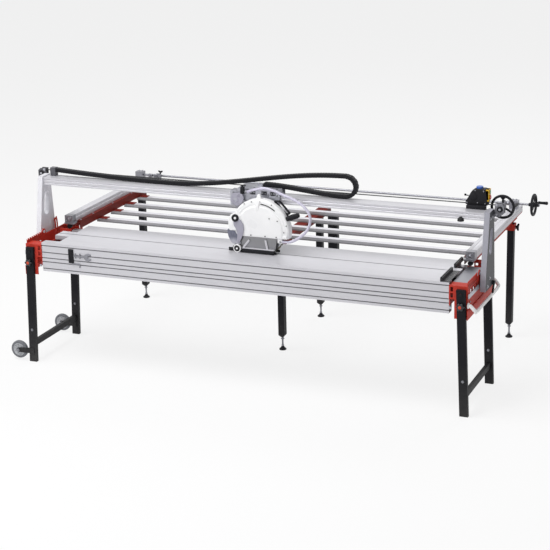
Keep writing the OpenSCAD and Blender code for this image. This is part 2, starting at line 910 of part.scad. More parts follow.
// The box stands behind the beam on a foot, and the belt's upper run passes under its cover.
module control_box() {
    color(BLACK) difference() {
        union() {
            along_y(box_y, box_d) translate([box_x, box_z])
                polygon([[0, 0], [box_w, 0], [box_w, 26], [box_w - 12, box_h], [58, box_h], [36, 86], [10, 36],
                         [0, 24]]);
            block([box_x + 12, bridge_y + bridge_d - 28, bridge_top], [box_x + box_w - 4, box_y + 5, box_z + 4]);
            disc_y(box_x + 50, box_y - 4, box_z + 54, 24, 5);
        }
        block([box_x + box_w - 10, box_y + 4, box_z + 28], [plate_x, box_y + box_d - 4, box_z + box_h + 1]);
        block([box_x - 1, pulley_y0 - 4, box_z - 1], [box_x + box_w + 1, pulley_y0 + pulley_w + 4, box_z + 12]);
    }
}

plate_x = box_x + box_w + 8;
button_y = box_y + box_d / 2;
start_z = box_z + 84;
stop_z = box_z + 50;
start_r = 11;
stop_r = 14;

module switch_plate() {
    color("#e9b51d") difference() {
        block([box_x + box_w - 10, box_y + 4, box_z + 28], [plate_x, box_y + box_d - 4, box_z + box_h - 2]);
        disc_x(plate_x - 12, button_y, start_z, start_r + 0.4, 13);
        disc_x(plate_x - 12, button_y, stop_z, stop_r + 0.4, 13);
    }
}

module start_button() {
    color("green") disc_x(plate_x - 6, button_y, start_z, start_r, 12);
}

module stop_button() {
    color("red") disc_x(plate_x - 6, button_y, stop_z, stop_r, 14);
}

module power_inlet() {
    color("#3d6fb5") disc_z(box_x + 84, box_y + box_d / 2, box_z + box_h, 22, 12);
}

// ---- carriage and head ----

pad_t = 3;
front_plate_y = bridge_y - pad_t - 8;
car_l = -150;
car_r = 200;
tall_l = -96;
band_x1 = 50;
chain_under = bridge_top + 3 + link_h + 4;

module carriage() {
    rear_y0 = bridge_y + bridge_d + pad_t;
    band_y0 = chain_y - link_w / 2 - 4;
    top = chain_under + 8;
    color(ZINC) difference() {
        union() {
            // front plate, box in front of the chain, plate behind it and the bridge between them
            block([car_l, front_plate_y, bridge_z - 30], [car_r, front_plate_y + 8, bridge_top + 20]);
            block([car_l, front_plate_y, bridge_top + pad_t], [car_r, band_y0, bridge_top + 20]);
            block([tall_l, front_plate_y, bridge_top + 20], [car_r - 8, band_y0, top]);
            block([tall_l, rear_y0, bridge_z - 10], [car_r - 8, rear_y0 + 6, top]);
            block([tall_l, band_y0, chain_under], [band_x1, rear_y0 + 6, top]);
            // anchor of the chain's end
            block([band_x1 - 34, chain_y - 17, top], [band_x1 - 0.3, chain_y + 17, tail_z + 2]);
            // belt clamp
            block([0, rear_y0, belt_z + pulley_r + belt_t + 1],
                  [50, pulley_y0 + pulley_w, belt_z + pulley_r + belt_t + 8]);
        }
        block([tall_l + 12, front_plate_y + 12, bridge_top + 8],
              [car_r - 30, band_y0 - 6, chain_under]);
    }
    color(BLACK) for (x = [car_l + 10, car_r - 70]) {
        block([x, bridge_y - pad_t, bridge_z + 16], [x + 60, bridge_y - free_gap, bridge_z + 32]);
        block([x, bridge_y + 8, bridge_top + free_gap], [x + 60, bridge_y + 36, bridge_top + pad_t]);
    }
    color(BLACK) for (x = [tall_l + 10, car_r - 70])
        block([x, bridge_y + bridge_d + free_gap, bridge_z + 16], [x + 60, bridge_y + bridge_d + pad_t, bridge_z + 32]);
    // hose fitting
    disc_x(-58, hose_y, hose_z, 11, 23.5);
    block([-58, hose_y, hose_z - 8], [-42, front_plate_y + 8, hose_z + 4]);
    // plunge pivot
    disc_y(lift_x, arm_y - 6, lift_z, 10, front_plate_y - arm_y + 6);
    disc_y(lift_x, arm_y - 6, lift_z, 15, 5);
}

lift_x = -106;
lift_z = bridge_z + 14;
arm_y = guard_back + free_gap;
arm_t = 10;

module head_arm() {
    color(ZINC) along_y(arm_y, arm_t) difference() {
        hull() {
            translate([lift_x, lift_z]) circle(34, $fn = 32);
            translate([blade_x - 30, blade_z + 20]) circle(44, $fn = 32);
            translate([blade_x + 30, blade_z + 10]) circle(44, $fn = 32);
        }
        translate([lift_x, lift_z]) circle(10 + run_gap);
        translate([blade_x, blade_z]) circle(spindle_r + 8);
    }
}

module blade_spindle() {
    color(ZINC) {
        disc_y(blade_x, slot_y - blade_t / 2 - 12, blade_z, spindle_r, arm_y + arm_t + 30 - slot_y);
        disc_y(blade_x, slot_y - blade_t / 2 - 6, blade_z, 32, 6);
        disc_y(blade_x, slot_y + blade_t / 2, blade_z, 32, 6);
    }
}

module motor() {
    y0 = arm_y + arm_t;
    color("#8d9196") difference() {
        union() {
            disc_y(blade_x, y0, blade_z, motor_r, motor_l);
            disc_y(blade_x, y0 + motor_l, blade_z, motor_r - 6, 14);
            for (a = [100 : 20 : 440])
                translate([blade_x, 0, blade_z]) rotate([0, a, 0])
                    block([motor_r - 2, y0 + 20, -1.5], [motor_r + 5, y0 + motor_l - 20, 1.5]);
        }
        disc_y(blade_x, y0 - 1, blade_z, spindle_r + run_gap, 33);
    }
}

module guard_2d(r) {
    intersection() {
        translate([blade_x, blade_z]) circle(r, $fn = 96);
        translate([blade_x - guard_r, blade_z - guard_low]) square([2 * guard_r, guard_low + guard_r]);
    }
}

module blade_guard() {
    inner_r = guard_r - guard_wall;
    fin_h = 22;
    color(WHITE) {
        along_y(guard_front, guard_t) difference() {
            guard_2d(guard_r);
            translate([0, -1]) guard_2d(inner_r);
            translate([blade_x - inner_r + 8, blade_z - guard_low - 2]) square([2 * inner_r - 16, 4]);
        }
        along_y(guard_front, guard_wall) difference() {
            guard_2d(inner_r);
        }
        along_y(guard_back - guard_wall, guard_wall) difference() {
            guard_2d(inner_r);
            translate([blade_x, blade_z]) circle(spindle_r + 8);
        }
        block([blade_x + 126, guard_front, blade_z - guard_low - 18],
              [blade_x + 152, guard_front + 20, blade_z - guard_low + 2]);
        along_y(slot_y - 4, 8)
            polygon([[blade_x - 22, blade_z + guard_r - 3], [blade_x + 14, blade_z + guard_r - 3],
                     [blade_x + 8, blade_z + guard_r + fin_h], [blade_x - 4, blade_z + guard_r + fin_h]]);
    }
}

module guard_knob() {
    x = blade_x - 167;
    z = blade_z + 70;
    color(BLACK) {
        disc_y(x, guard_front - 16, z, 24, 16);
        disc_y(x, guard_front - 20, z, 9, 4);
    }
}

module saw_blade() {
    color("#9a9da1") difference() {
        disc_y(blade_x, slot_y - blade_t / 2, blade_z, blade_r, blade_t);
        disc_y(blade_x, slot_y - blade_t, blade_z, spindle_r + run_gap, blade_t * 2);
    }
}

shoe_x0 = -132;
shoe_x1 = 202;
shoe_z = table_h + 3;
shoe_rise = 55;

module base_shoe() {
    skirt_f = guard_front + guard_wall + free_gap;
    skirt_b = guard_back - guard_wall - free_gap - 3;
    skirt_top = blade_z - guard_low + 22;
    color("#3a3c40") {
        difference() {
            for (y = [skirt_f, skirt_b])
                block([blade_x - 183, y, shoe_z + 16], [shoe_x1 - 12, y + 3, skirt_top]);
            block([blade_x - spindle_r - 26, slot_y, blade_z - spindle_r - shoe_rise - 8],
                  [blade_x + spindle_r + 26, guard_back, skirt_top + 1]);
        }
        for (y = [guard_front - 1, skirt_b])
            block([shoe_x0, y, shoe_z], [shoe_x1, y + 7.5, shoe_z + 16]);
        disc_y(roller_x, guard_front - 22, roller_z, 5, 26);
    }
}

roller_x = -69;
roller_r = 27;
roller_z = table_h + roller_r + free_gap;

module shoe_roller() {
    color(WHITE) difference() {
        disc_y(roller_x, guard_front - 20, roller_z, roller_r, 16);
        disc_y(roller_x, guard_front - 21, roller_z, 5 + run_gap, 18);
    }
}

grip_r = 14;
grip_angle = 25.6;

module head_grip() {
    y = guard_front + 12;
    reach = guard_r + grip_r + 0.5;
    color(BLACK) hull() {
        translate([blade_x + reach * cos(grip_angle), y, blade_z + reach * sin(grip_angle)])
            sphere(grip_r, $fn = 24);
        translate([blade_x + reach * cos(grip_angle) + 84, y, blade_z + reach * sin(grip_angle) + 42])
            sphere(grip_r + 2, $fn = 24);
    }
}

hose_r = 8;
hose_y = slot_y + 27;
hose_z = bridge_top + 26;
// route from the fitting on the carriage to the elbow on the guard, from the blade's middle
hose_route = [[30, 23, 251], [100, 21, 267], [170, 19, 257], [237, 17, 234], [300, 13, 215], [365, 7, 185],
    [410, 1, 145], [429, -3, 108], [430, -8, 69], [420, -13, 34], [400, -17, 4], [375, -20, -21],
    [335, -22, -49], [300, -23, -65], [268, -23, -69], [241, -23, -69]];
hose_points = concat([[-34, hose_y, hose_z], [-14, hose_y, hose_z]],
    [for (p = hose_route) [p[0] - 88 + blade_x, slot_y + p[1], blade_z + p[2]]]);

function tangent(pts, i) =
    let (v = pts[min(i + 1, len(pts) - 1)] - pts[max(i - 1, 0)]) v / norm(v);
function ring(pts, i, sides) =
    let (t = tangent(pts, i), u = cross(t, [0, 1, 0]), n = u / norm(u), b = cross(t, n))
    [for (k = [0 : sides - 1]) pts[i] + hose_r * (cos(360 * k / sides) * n + sin(360 * k / sides) * b)];

module water_hose() {
    sides = 8;
    rings = len(hose_points);
    skin = [for (i = [0 : rings - 1]) each ring(hose_points, i, sides)];
    walls = [for (i = [0 : rings - 2], k = [0 : sides - 1])
        [i * sides + k, i * sides + (k + 1) % sides, (i + 1) * sides + (k + 1) % sides, (i + 1) * sides + k]];
    caps = [[for (k = [0 : sides - 1]) sides - 1 - k], [for (k = [0 : sides - 1]) (rings - 1) * sides + k]];
    color("#cfc8e6") polyhedron(skin, concat(walls, caps));
}

// ---- energy chain ----

// The chain's middle line: flat on the beam, a rise over the carriage, the bend and the way back.
flat_x0 = -1500;
rise_x0 = -640;
sag_l = 900;
sag_h = 28;
upper_links = 56;
bend_x = flat_x0 + upper_links * link_pitch;
tail_x = 50;
flat_z = bridge_top + 1 + link_h / 2;
top_z = flat_z + 135;
low_z = top_z - 2 * bend_r;
tail_z = chain_under + 8 + link_h / 2 + 1;

function ease(t) = (1 - cos(180 * max(0, min(1, t)))) / 2;
function upper_z(x) = flat_z + sag_h * pow(max(0, 1 - (x - flat_x0) / sag_l), 2)
    + (top_z - flat_z) * ease((x - rise_x0) / (bend_x - rise_x0));
function lower_z(x) = tail_z + (low_z - tail_z) * ease((x - tail_x) / (bend_x - tail_x));

module link() {
    // two side plates whose tongues reach between the next link's plates, and two cross bars
    half = link_pitch / 2;
    outer = link_w / 2;
    plate = 4;
    tongue = 3.4;
    for (side = [0, 1]) mirror([0, side, 0]) {
        block([-half, outer - plate, -link_h / 2], [4, outer, link_h / 2]);
        block([-4, outer - plate - 0.3 - tongue, -link_h / 2 + 4], [half + 8, outer - plate - 0.3, link_h / 2 - 4]);
        block([-4, outer - plate - 1, -link_h / 2 + 4], [4, outer - plate, link_h / 2 - 4]);
    }
    for (z = [-link_h / 2, link_h / 2 - 3])
        block([-8, -outer + plate, z], [4, outer - plate, z + 3]);
}

module link_between(a, b) {
    angle = atan2(b[1] - a[1], b[0] - a[0]);
    translate([(a[0] + b[0]) / 2, chain_y, (a[1] + b[1]) / 2]) rotate([0, -angle, 0]) link();
}

module chain_upper() {
    color(BLACK) for (i = [0 : upper_links - 1]) {
        x = flat_x0 + i * link_pitch;
        link_between([x, upper_z(x)], [x + link_pitch, upper_z(x + link_pitch)]);
    }
}

module chain_loop() {
    count = round(PI * bend_r / link_pitch);
    color(BLACK) for (i = [0 : count - 1]) {
        a = 90 - i * 180 / count;
        b = 90 - (i + 1) * 180 / count;
        link_between([bend_x + bend_r * cos(a), top_z - bend_r + bend_r * sin(a)],
                     [bend_x + bend_r * cos(b), top_z - bend_r + bend_r * sin(b)]);
    }
}

module chain_lower() {
    count = floor((bend_x - tail_x) / link_pitch);
    color(BLACK) for (i = [0 : count - 1]) {
        x = bend_x - i * link_pitch;
        link_between([x, lower_z(x)], [x - link_pitch, lower_z(x - link_pitch)]);
    }
}

place() front_beam();
place() rear_beam();
place() table_planks();
place() cross_members();
place() water_tray();
place() left_end_frame();
place() right_end_frame();
place() side_beams();
place() middle_beam();
place() support_tubes();
place() side_rails();
place() rail_end_caps();
place() zinc_brackets();
place() bearing_blocks();
place() cross_fence();
place() transport_handle();
place() frame_bolts();
place() support_legs();
place() left_foot();
place() middle_foot();
place() right_foot();
place() front_foot();
place() left_leg_frame();
place() right_leg_frame();
place() wheel_brackets();
place() front_wheel();
place() rear_wheel();
place() left_star_knob();
place() right_star_knob();
place() wing_knob();
place() rear_shaft();
place() rear_handwheel();
place() bridge_beam();
place() bridge_uprights();
place() pulley_brackets();
place() drive_belt();
place() idler_pulley();
place() drive_shaft();
place() front_handwheel();
place() control_box();
place() switch_plate();
place() start_button();
place() stop_button();
place() power_inlet();
place() left_tilt_lever();
place() right_tilt_lever();
place() carriage();
place() head_arm();
place() motor();
place() blade_guard();
place() guard_knob();
place() saw_blade();
place() blade_spindle();
place() base_shoe();
place() shoe_roller();
place() head_grip();
place() water_hose();
place() chain_upper();
place() chain_loop();
place() chain_lower();
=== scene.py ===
"""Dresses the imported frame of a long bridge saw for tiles: finishes, the saw head, the energy chain, the
hose, knobs, wheels, screws and the stage. Sizes are in millimetres from the middle of the front legs'
centre line on the floor, and turn into metres in the frame where a mesh is made."""

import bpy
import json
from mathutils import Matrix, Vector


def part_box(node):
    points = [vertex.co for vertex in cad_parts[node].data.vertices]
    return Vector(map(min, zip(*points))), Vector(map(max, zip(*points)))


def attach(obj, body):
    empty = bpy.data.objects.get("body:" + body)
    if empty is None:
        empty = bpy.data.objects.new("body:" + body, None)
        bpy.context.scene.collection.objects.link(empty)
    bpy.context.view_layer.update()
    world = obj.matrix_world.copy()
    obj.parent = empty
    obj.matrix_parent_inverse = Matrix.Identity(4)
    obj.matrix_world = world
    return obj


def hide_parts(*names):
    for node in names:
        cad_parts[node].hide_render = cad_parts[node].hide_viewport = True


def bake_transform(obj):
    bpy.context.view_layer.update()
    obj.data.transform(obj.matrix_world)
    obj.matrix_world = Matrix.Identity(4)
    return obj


bl_info = {
    "name": "Bridge tile saw",
    "version": (1, 0, 0),
    "blender": (4, 5, 0),
    "location": "View3D > Sidebar > Tile saw",
    "description": "Finishes and visible pieces of a long bridge saw for tiles",
    "category": "Object",
}

import json
import math

import bmesh
import bpy
import numpy as np
from bpy.props import FloatProperty, FloatVectorProperty, IntProperty, PointerProperty
from mathutils import Matrix, Vector

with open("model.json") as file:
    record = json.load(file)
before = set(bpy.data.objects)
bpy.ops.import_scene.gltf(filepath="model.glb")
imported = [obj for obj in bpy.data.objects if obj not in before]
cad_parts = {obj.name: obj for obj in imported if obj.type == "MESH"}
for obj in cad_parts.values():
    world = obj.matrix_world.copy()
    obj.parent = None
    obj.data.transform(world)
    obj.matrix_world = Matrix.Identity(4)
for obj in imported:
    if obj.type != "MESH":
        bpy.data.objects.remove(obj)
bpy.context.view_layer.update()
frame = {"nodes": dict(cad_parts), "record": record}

BEAM_LOW = (-1430.0, 18.0)  # low X and Y of the front beam, which tie the millimetres to the frame
_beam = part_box("front_beam")[0]
SHIFT = np.array([BEAM_LOW[0] - 1000 * _beam.x, BEAM_LOW[1] - 1000 * _beam.y, 0.0])

TABLE_TOP = 860  # height of the planks
RAIL_X, RAIL_Z = 1446, 915  # middle of the side rails, out from the machine's middle and above the floor
SIDE_BEAM_INNER_X = 1405
PULLEY_AT = (1634, 424, 1234)  # middle of the belt's pulleys
LEG_FOOT_X, LEG_LEAN = 1540, 30 / 825  # where the legs stand, and how far they lean in on the way up
LEG_BAR_Z = 233  # their lower bar
LEG_FACES_Y = (-12.6, 616.6)  # just outside the front legs' front and the back legs' back


def spot(node):
    """Lowest and highest corner of a CAD node in millimetres."""
    low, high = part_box(node)
    return np.array(low) * 1000 + SHIFT, np.array(high) * 1000 + SHIFT


def middle(node):
    """Middle of a CAD node's box in millimetres."""
    low, high = spot(node)
    return (low + high) / 2


def in_frame(point):
    """A point in millimetres as metres in the frame."""
    return tuple((np.asarray(point, float) - SHIFT) / 1000)


def on_side(side, a, b):
    """Two distances from the middle on the left (-1) or right (1) side, the lower coordinate first."""
    return sorted((side * a, side * b))


# ---- surfaces -----------------------------------------------------------------------------


def unit(v):
    """Vectors along the last axis, each divided by its length."""
    v = np.asarray(v, float)
    return v / np.maximum(np.linalg.norm(v, axis=-1, keepdims=True), 1e-9)


def rounded(points, radius, steps=5):
    """Outline with its corners rounded: each corner C becomes the curve (1-t)^2 A + 2t(1-t) C + t^2 B,
    where A and B lie on the two sides, one radius away from C but no further than 0.45 of the side."""
    c = np.asarray(points, float)
    r = np.broadcast_to(np.asarray(radius, float), (len(c),))[:, None]
    back, ahead = np.roll(c, 1, 0) - c, np.roll(c, -1, 0) - c
    a = c + unit(back) * np.minimum(r, 0.45 * np.linalg.norm(back, axis=1)[:, None])
    b = c + unit(ahead) * np.minimum(r, 0.45 * np.linalg.norm(ahead, axis=1)[:, None])
    t = np.linspace(0, 1, steps)[None, :, None]
    curve = (1 - t) ** 2 * a[:, None] + 2 * t * (1 - t) * c[:, None] + t**2 * b[:, None]
    return curve.reshape(-1, 2)


def inset(outline, distance):
    """Outline moved inwards: every point moves along the bisector of its two sides' normals, by the
    distance divided by the cosine of half the angle between them."""
    d_in, d_out = unit(outline - np.roll(outline, 1, 0)), unit(np.roll(outline, -1, 0) - outline)
    n_in, n_out = np.stack([-d_in[:, 1], d_in[:, 0]], 1), np.stack([-d_out[:, 1], d_out[:, 0]], 1)
    n = unit(n_in + n_out)
    area = np.sum(outline[:, 0] * np.roll(outline[:, 1], -1) - np.roll(outline[:, 0], -1) * outline[:, 1])
    return outline + np.sign(area) * n * distance / np.maximum(np.sum(n * n_in, 1), 0.5)[:, None]


def circle(radius, steps=32, centre=(0, 0), lobes=0, depth=0.0):
    """Closed outline at the radius, which swells and sinks by the depth along a cosine with that many
    lobes."""
    a = np.linspace(0, 2 * np.pi, steps, endpoint=False)
    r = radius + depth * np.cos(lobes * a)
    return np.stack([centre[0] + r * np.cos(a), centre[1] + r * np.sin(a)], 1)


def both_faces(half_profile, width):
    """Profile of a wheel that is the same on both faces: the half profile, then its mirror image in
    reverse."""
    return half_profile + [[r, width - y] for r, y in half_profile[::-1]]


def smooth_path(points, count):
    """Curve through the points: each stretch is the cubic (Catmull-Rom) of its two ends and their
    neighbours."""
    p = np.concatenate([[2 * points[0] - points[1]], points, [2 * points[-1] - points[-2]]])
    s = np.linspace(0, len(points) - 1 - 1e-6, count)
    i = s.astype(int)
    t = (s - i)[:, None]
    a, b, c, d = p[i], p[i + 1], p[i + 2], p[i + 3]
    return 0.5 * (2 * b + (c - a) * t + (2 * a - 5 * b + 4 * c - d) * t**2 + (3 * b - a - 3 * c + d) * t**3)


def smooth_step(value, at, width):
    """1 where the value lies well below the mark and 0 well above it: s^2 (3 - 2s) over the width."""
    s = np.clip((at - value) / width + 0.5, 0, 1)
    return s**2 * (3 - 2 * s)


AXES = {"x": (1, 2, 0), "y": (0, 2, 1), "z": (0, 1, 2)}


class Shell:
    """Collects surfaces that are worked out as whole arrays, and makes one mesh of them."""

    def __init__(self):
        self.points, self.faces, self.count = [], [], 0

    def add(self, points, faces):
        """Adds points and the faces between them."""
        points = np.asarray(points, float).reshape(-1, 3)
        self.points.append(points)
        self.faces += [[i + self.count for i in face] for face in faces]
        self.count += len(points)
        return self

    def grid(self, points, wrap_u=False, wrap_v=False, caps=False):
        """Surface through points[u, v]; neighbours in u and v make four-sided faces, and caps close the
        ends of u."""
        nu, nv = points.shape[:2]
        span = np.arange(nu if wrap_u else nu - 1), np.arange(nv if wrap_v else nv - 1)
        u, v = np.meshgrid(*span, indexing="ij")
        u2, v2 = (u + 1) % nu, (v + 1) % nv
        faces = np.stack([u * nv + v, u2 * nv + v, u2 * nv + v2, u * nv + v2], -1).reshape(-1, 4).tolist()
        if caps:
            faces += [list(range(nv))[::-1], list(range((nu - 1) * nv, nu * nv))]
        return self.add(points, faces)

    def lathe(self, profile, origin, axis="y", steps=40, closed=False, sign=1):
        """Surface of revolution: profile rows are (radius, distance along the axis from the origin)."""
        p = np.asarray(profile, float)
        a = np.linspace(0, 2 * np.pi, steps, endpoint=False)
        out = np.empty((len(p), steps, 3))
        i, j, k = AXES[axis]
        out[..., i] = origin[i] + p[:, :1] * np.cos(a)
        out[..., j] = origin[j] + p[:, :1] * np.sin(a)
        out[..., k] = origin[k] + sign * p[:, 1:]
        return self.grid(out, wrap_u=closed, wrap_v=True)

    def prism(self, outline, axis, a, b, edge=1.0):
        """Outline carried along an axis from a to b. Its ends are drawn in along a quarter circle of
        radius edge."""
        outline = np.asarray(outline, float)
        e = min(edge, 0.45 * abs(b - a))
        q = np.array([0, 0.3, 0.7, 1.0]) * np.pi / 2
        draw = np.concatenate([e * (1 - np.sin(q)), e * (1 - np.sin(q))[::-1]])
        way = np.concatenate([a + e * (1 - np.cos(q)), b - e * (1 - np.cos(q))[::-1]])
        i, j, k = AXES[axis]
        out = np.empty((8, len(outline), 3))
        for n in range(8):
            ring = inset(outline, draw[n])
            out[n, :, i], out[n, :, j], out[n, :, k] = ring[:, 0], ring[:, 1], way[n]
        return self.grid(out, wrap_v=True, caps=True)

    def block(self, low, high, edge=1.5, axis="z"):
        """Block with all its edges rounded."""
        i, j, k = AXES[axis]
        o = [[low[i], low[j]], [high[i], low[j]], [high[i], high[j]], [low[i], high[j]]]
        return self.prism(rounded(o, edge, 3), axis, low[k], high[k], edge)

    def tube(self, path, radius, sides=14, ref=(0, 1, 0), loop=False, flat=1.0):
        """Round section carried along a path. Its two directions are the cross product of the tangent with
        ref, and that of the tangent with the first; flat stretches the section along the second."""
        path = np.asarray(path, float)
        t = unit(np.roll(path, -1, 0) - np.roll(path, 1, 0)) if loop else unit(np.gradient(path, axis=0))
        n = unit(np.cross(t, ref))
        b = np.cross(t, n)
        a = np.linspace(0, 2 * np.pi, sides, endpoint=False)
        r = np.broadcast_to(np.asarray(radius, float), (len(path),))[:, None, None]
        ring = np.cos(a)[None, :, None] * n[:, None] + flat * np.sin(a)[None, :, None] * b[:, None]
        return self.grid(path[:, None] + r * ring, wrap_u=loop, wrap_v=True, caps=not loop)

    def hexagon(self, centre, axis, radius, height, sign=1, washer=1.5):
        """Hexagon head on a washer, standing on the centre point along the axis."""
        i, j, k = AXES[axis]
        c = np.array(centre, float)
        if washer:
            flange = washer * radius
            self.lathe([[0, 0], [flange, 0], [flange, 1.4], [0, 1.4]], c, axis, 20, sign=sign)
        ends = sorted((c[k] + sign * (1.2 if washer else 0), c[k] + sign * height))
        return self.prism(circle(radius, 6, (c[i], c[j])), axis, *ends, 0.12 * radius)

    def hexagons(self, centres, *size, **more):
        """A hexagon head on each of the points."""
        for centre in centres:
            self.hexagon(centre, *size, **more)

    def socket(self, centre, axis, radius, height, sign=1):
        """Round socket screw head with a recess, standing on the centre point along the axis."""
        r, h = radius, height
        profile = [[0, h * 0.45], [r * 0.5, h * 0.45], [r * 0.52, h], [r * 0.86, h], [r, h * 0.85], [r, 0],
                   [0, 0]]
        return self.lathe(profile, centre, axis, 18, sign=sign)

    def sockets(self, centres, *size, **more):
        """A socket screw head on each of the points."""
        for centre in centres:
            self.socket(centre, *size, **more)

    def copies(self, frames):
        """This shell once for each frame (origin, x direction, y direction, z direction) as one new shell."""
        base = np.concatenate(self.points)
        out = Shell()
        for origin, x, y, z in frames:
            out.add(origin + base[:, :1] * x + base[:, 1:2] * y + base[:, 2:] * z, self.faces)
        return out


def mesh_of(name, shell, material, sharp=32):
    """One Blender mesh of a shell: millimetres become metres in the frame, doubled points are merged, the
    faces are turned outwards and edges sharper than the angle stay sharp."""
    mesh = bpy.data.meshes.new(name)
    mesh.from_pydata(((np.concatenate(shell.points) - SHIFT) / 1000).tolist(), [], shell.faces)
    work = bmesh.new()
    work.from_mesh(mesh)
    bmesh.ops.remove_doubles(work, verts=work.verts, dist=2e-6)
    bmesh.ops.dissolve_degenerate(work, dist=1e-6, edges=work.edges)
    bmesh.ops.recalc_face_normals(work, faces=work.faces)
    work.to_mesh(mesh)
    work.free()
    mesh.polygons.foreach_set("use_smooth", np.ones(len(mesh.polygons), bool))
    mesh.set_sharp_from_angle(angle=math.radians(sharp))
    mesh.materials.append(material)
    obj = bpy.data.objects.new(name, mesh)
    bpy.context.scene.collection.objects.link(obj)
    return obj


def make(name, shell, finish, body=None, stands_for=None, sharp=32):
    """A piece from a shell: it rides on the body, stands for the CAD node and takes the slot of its
    finish."""
    obj = mesh_of(name, shell, FINISH[finish], sharp)
    if body:
        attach(obj, body)
    if stands_for:
        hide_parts(stands_for)
    return obj


def thicken(obj, thickness, offset):
    """Gives a surface a wall."""
    wall = obj.modifiers.new("wall", "SOLIDIFY")
    wall.thickness, wall.offset = thickness, offset


# ---- finishes -----------------------------------------------------------------------------


def feed(tree, value, socket):
    """Joins a value to a socket, or sets a constant on it."""
    if isinstance(value, Val):
        tree.links.new(value.socket, socket)
    else:
        socket.default_value = value


class Val:
    """A socket that arithmetic works on: each operator adds a Math node."""

    def __init__(self, tree, socket):
        self.tree, self.socket = tree, socket

    def math(self, operation, other=None):
        """Math node on this value and, where the operation takes two, the other."""
        node = self.tree.nodes.new("ShaderNodeMath")
        node.operation = operation
        for k, value in enumerate((self,) if other is None else (self, other)):
            feed(self.tree, value, node.inputs[k])
        return Val(self.tree, node.outputs[0])

    def __add__(self, other):
        return self.math("ADD", other)

    __radd__ = __add__

    def __sub__(self, other):
        return self.math("SUBTRACT", other)

    def __mul__(self, other):
        return self.math("MULTIPLY", other)

    def __lt__(self, other):
        return self.math("LESS_THAN", other)

    def __gt__(self, other):
        return self.math("GREATER_THAN", other)

    def wrap(self, step):
        """What is left of the value after whole steps; 1000 steps are added first, so that it is never
        negative."""
        return (self + 1000 * step).math("MODULO", step)


class Finish:
    """A material's nodes. node() makes any node from its type, its settings and what goes into its
    sockets."""

    def __init__(self, name, **plain):
        self.material = bpy.data.materials.new(name)
        self.material.use_nodes = True
        self.tree = self.material.node_tree
        self.shader = self.tree.nodes["Principled BSDF"]
        self.place = self.node("ShaderNodeTexCoord", out="Object")
        for key, value in plain.items():
            self.shader.inputs[key.replace("_", " ").title().replace("Ior", "IOR")].default_value = value

    def node(self, kind, inputs=None, out=0, **settings):
        """One output of a new node."""
        node = self.tree.nodes.new(kind)
        for key, value in settings.items():
            setattr(node, key, value)
        for key, value in (inputs or {}).items():
            feed(self.tree, value, node.inputs[key])
        return Val(self.tree, node.outputs[out])

    def noise(self, scale, stretch=(1, 1, 1), detail=3.0, rough=0.55):
        """Noise on Object coordinates, with scale cells to a metre, stretched by axis."""
        cells = [scale * s for s in stretch]
        at = self.node("ShaderNodeMapping", {"Vector": self.place, "Scale": cells})
        inputs = {"Vector": at, "Scale": 1.0, "Detail": detail, "Roughness": rough}
        return self.node("ShaderNodeTexNoise", inputs)

    def die_lines(self, along=0):
        """Fine lines along one axis, as a die leaves them on an extrusion."""
        stretch = [1.0, 1.0, 1.0]
        stretch[along] = 0.004
        return self.noise(420, stretch, 2.0)

    def peel_and_drift(self):
        """Orange peel of a powder coat, and the slow drift of its tone."""
        return self.noise(420, detail=2.0), self.noise(5.0, detail=4.0)

    def mix(self, factor, a, b):
        """Colour between a and b."""
        node = self.tree.nodes.new("ShaderNodeMix")
        node.data_type = "RGBA"
        feed(self.tree, factor, node.inputs[0])
        for socket, value in ((node.inputs[6], a), (node.inputs[7], b)):
            feed(self.tree, value if isinstance(value, Val) else (*value, 1), socket)
        return Val(self.tree, node.outputs[2])

    def ramp(self, value, start, end, first, last):
        """Goes from first to last as the value goes from start to end, and stays level beyond them."""
        return self.node("ShaderNodeMapRange", {0: value, 1: start, 2: end, 3: first, 4: last})

    def axis(self, index, of=None):
        """One coordinate, in metres, of the place or of another vector."""
        return self.node("ShaderNodeSeparateXYZ", {0: of or self.place}, index)

    def facing(self, index):
        """One coordinate of the surface's own normal."""
        return self.axis(index, self.node("ShaderNodeTexCoord", out="Normal"))

    def done(self, colour, rough, height, strength, distance=0.0004):
        """The material, once colour, roughness (if it varies) and bump are joined to its shader."""
        feed(self.tree, colour, self.shader.inputs["Base Color"])
        if rough:
            feed(self.tree, rough, self.shader.inputs["Roughness"])
        bump = {"Height": height, "Strength": strength, "Distance": distance}
        feed(self.tree, self.node("ShaderNodeBump", bump, "Normal"), self.shader.inputs["Normal"])
        return self.material


def shade(colour, factor):
    """A colour that many times as bright."""
    return tuple(min(1.0, c * factor) for c in colour[:3])


def extruded(name, colour, along=0, metal=0.28, rough=0.36):
    """Anodised extrusion: fine die lines along its length, broad handling marks and a light haze."""
    f = Finish(name, metallic=metal)
    lines, marks = f.die_lines(along), f.noise(3.0, (1, 2.5, 2.5), 4.0)
    tone = f.mix(lines * 0.55 + marks * 0.45, shade(colour, 0.9), shade(colour, 1.08))
    return f.done(tone, rough - 0.06 + lines * 0.10 + marks * 0.06, lines, 0.12, 0.0002)


def coated(name, colour, rough=0.36, coat=0.1, peel=0.2, dust=0.0, shine=0.35):
    """Powder coat: orange peel, a slight drift in tone and, low down, a little dust."""
    f = Finish(name, coat_weight=coat, coat_roughness=0.25, specular_ior_level=shine)
    peels, drift = f.peel_and_drift()
    tone = f.mix(drift, shade(colour, 0.88), shade(colour, 1.14))
    if dust:
        tone = f.mix(f.ramp(f.axis(2), 0.0, 0.35, dust, 0.0) * drift, tone, (0.32, 0.31, 0.29))
    return f.done(tone, rough - 0.05 + drift * 0.12, peels, peel, 0.0003)


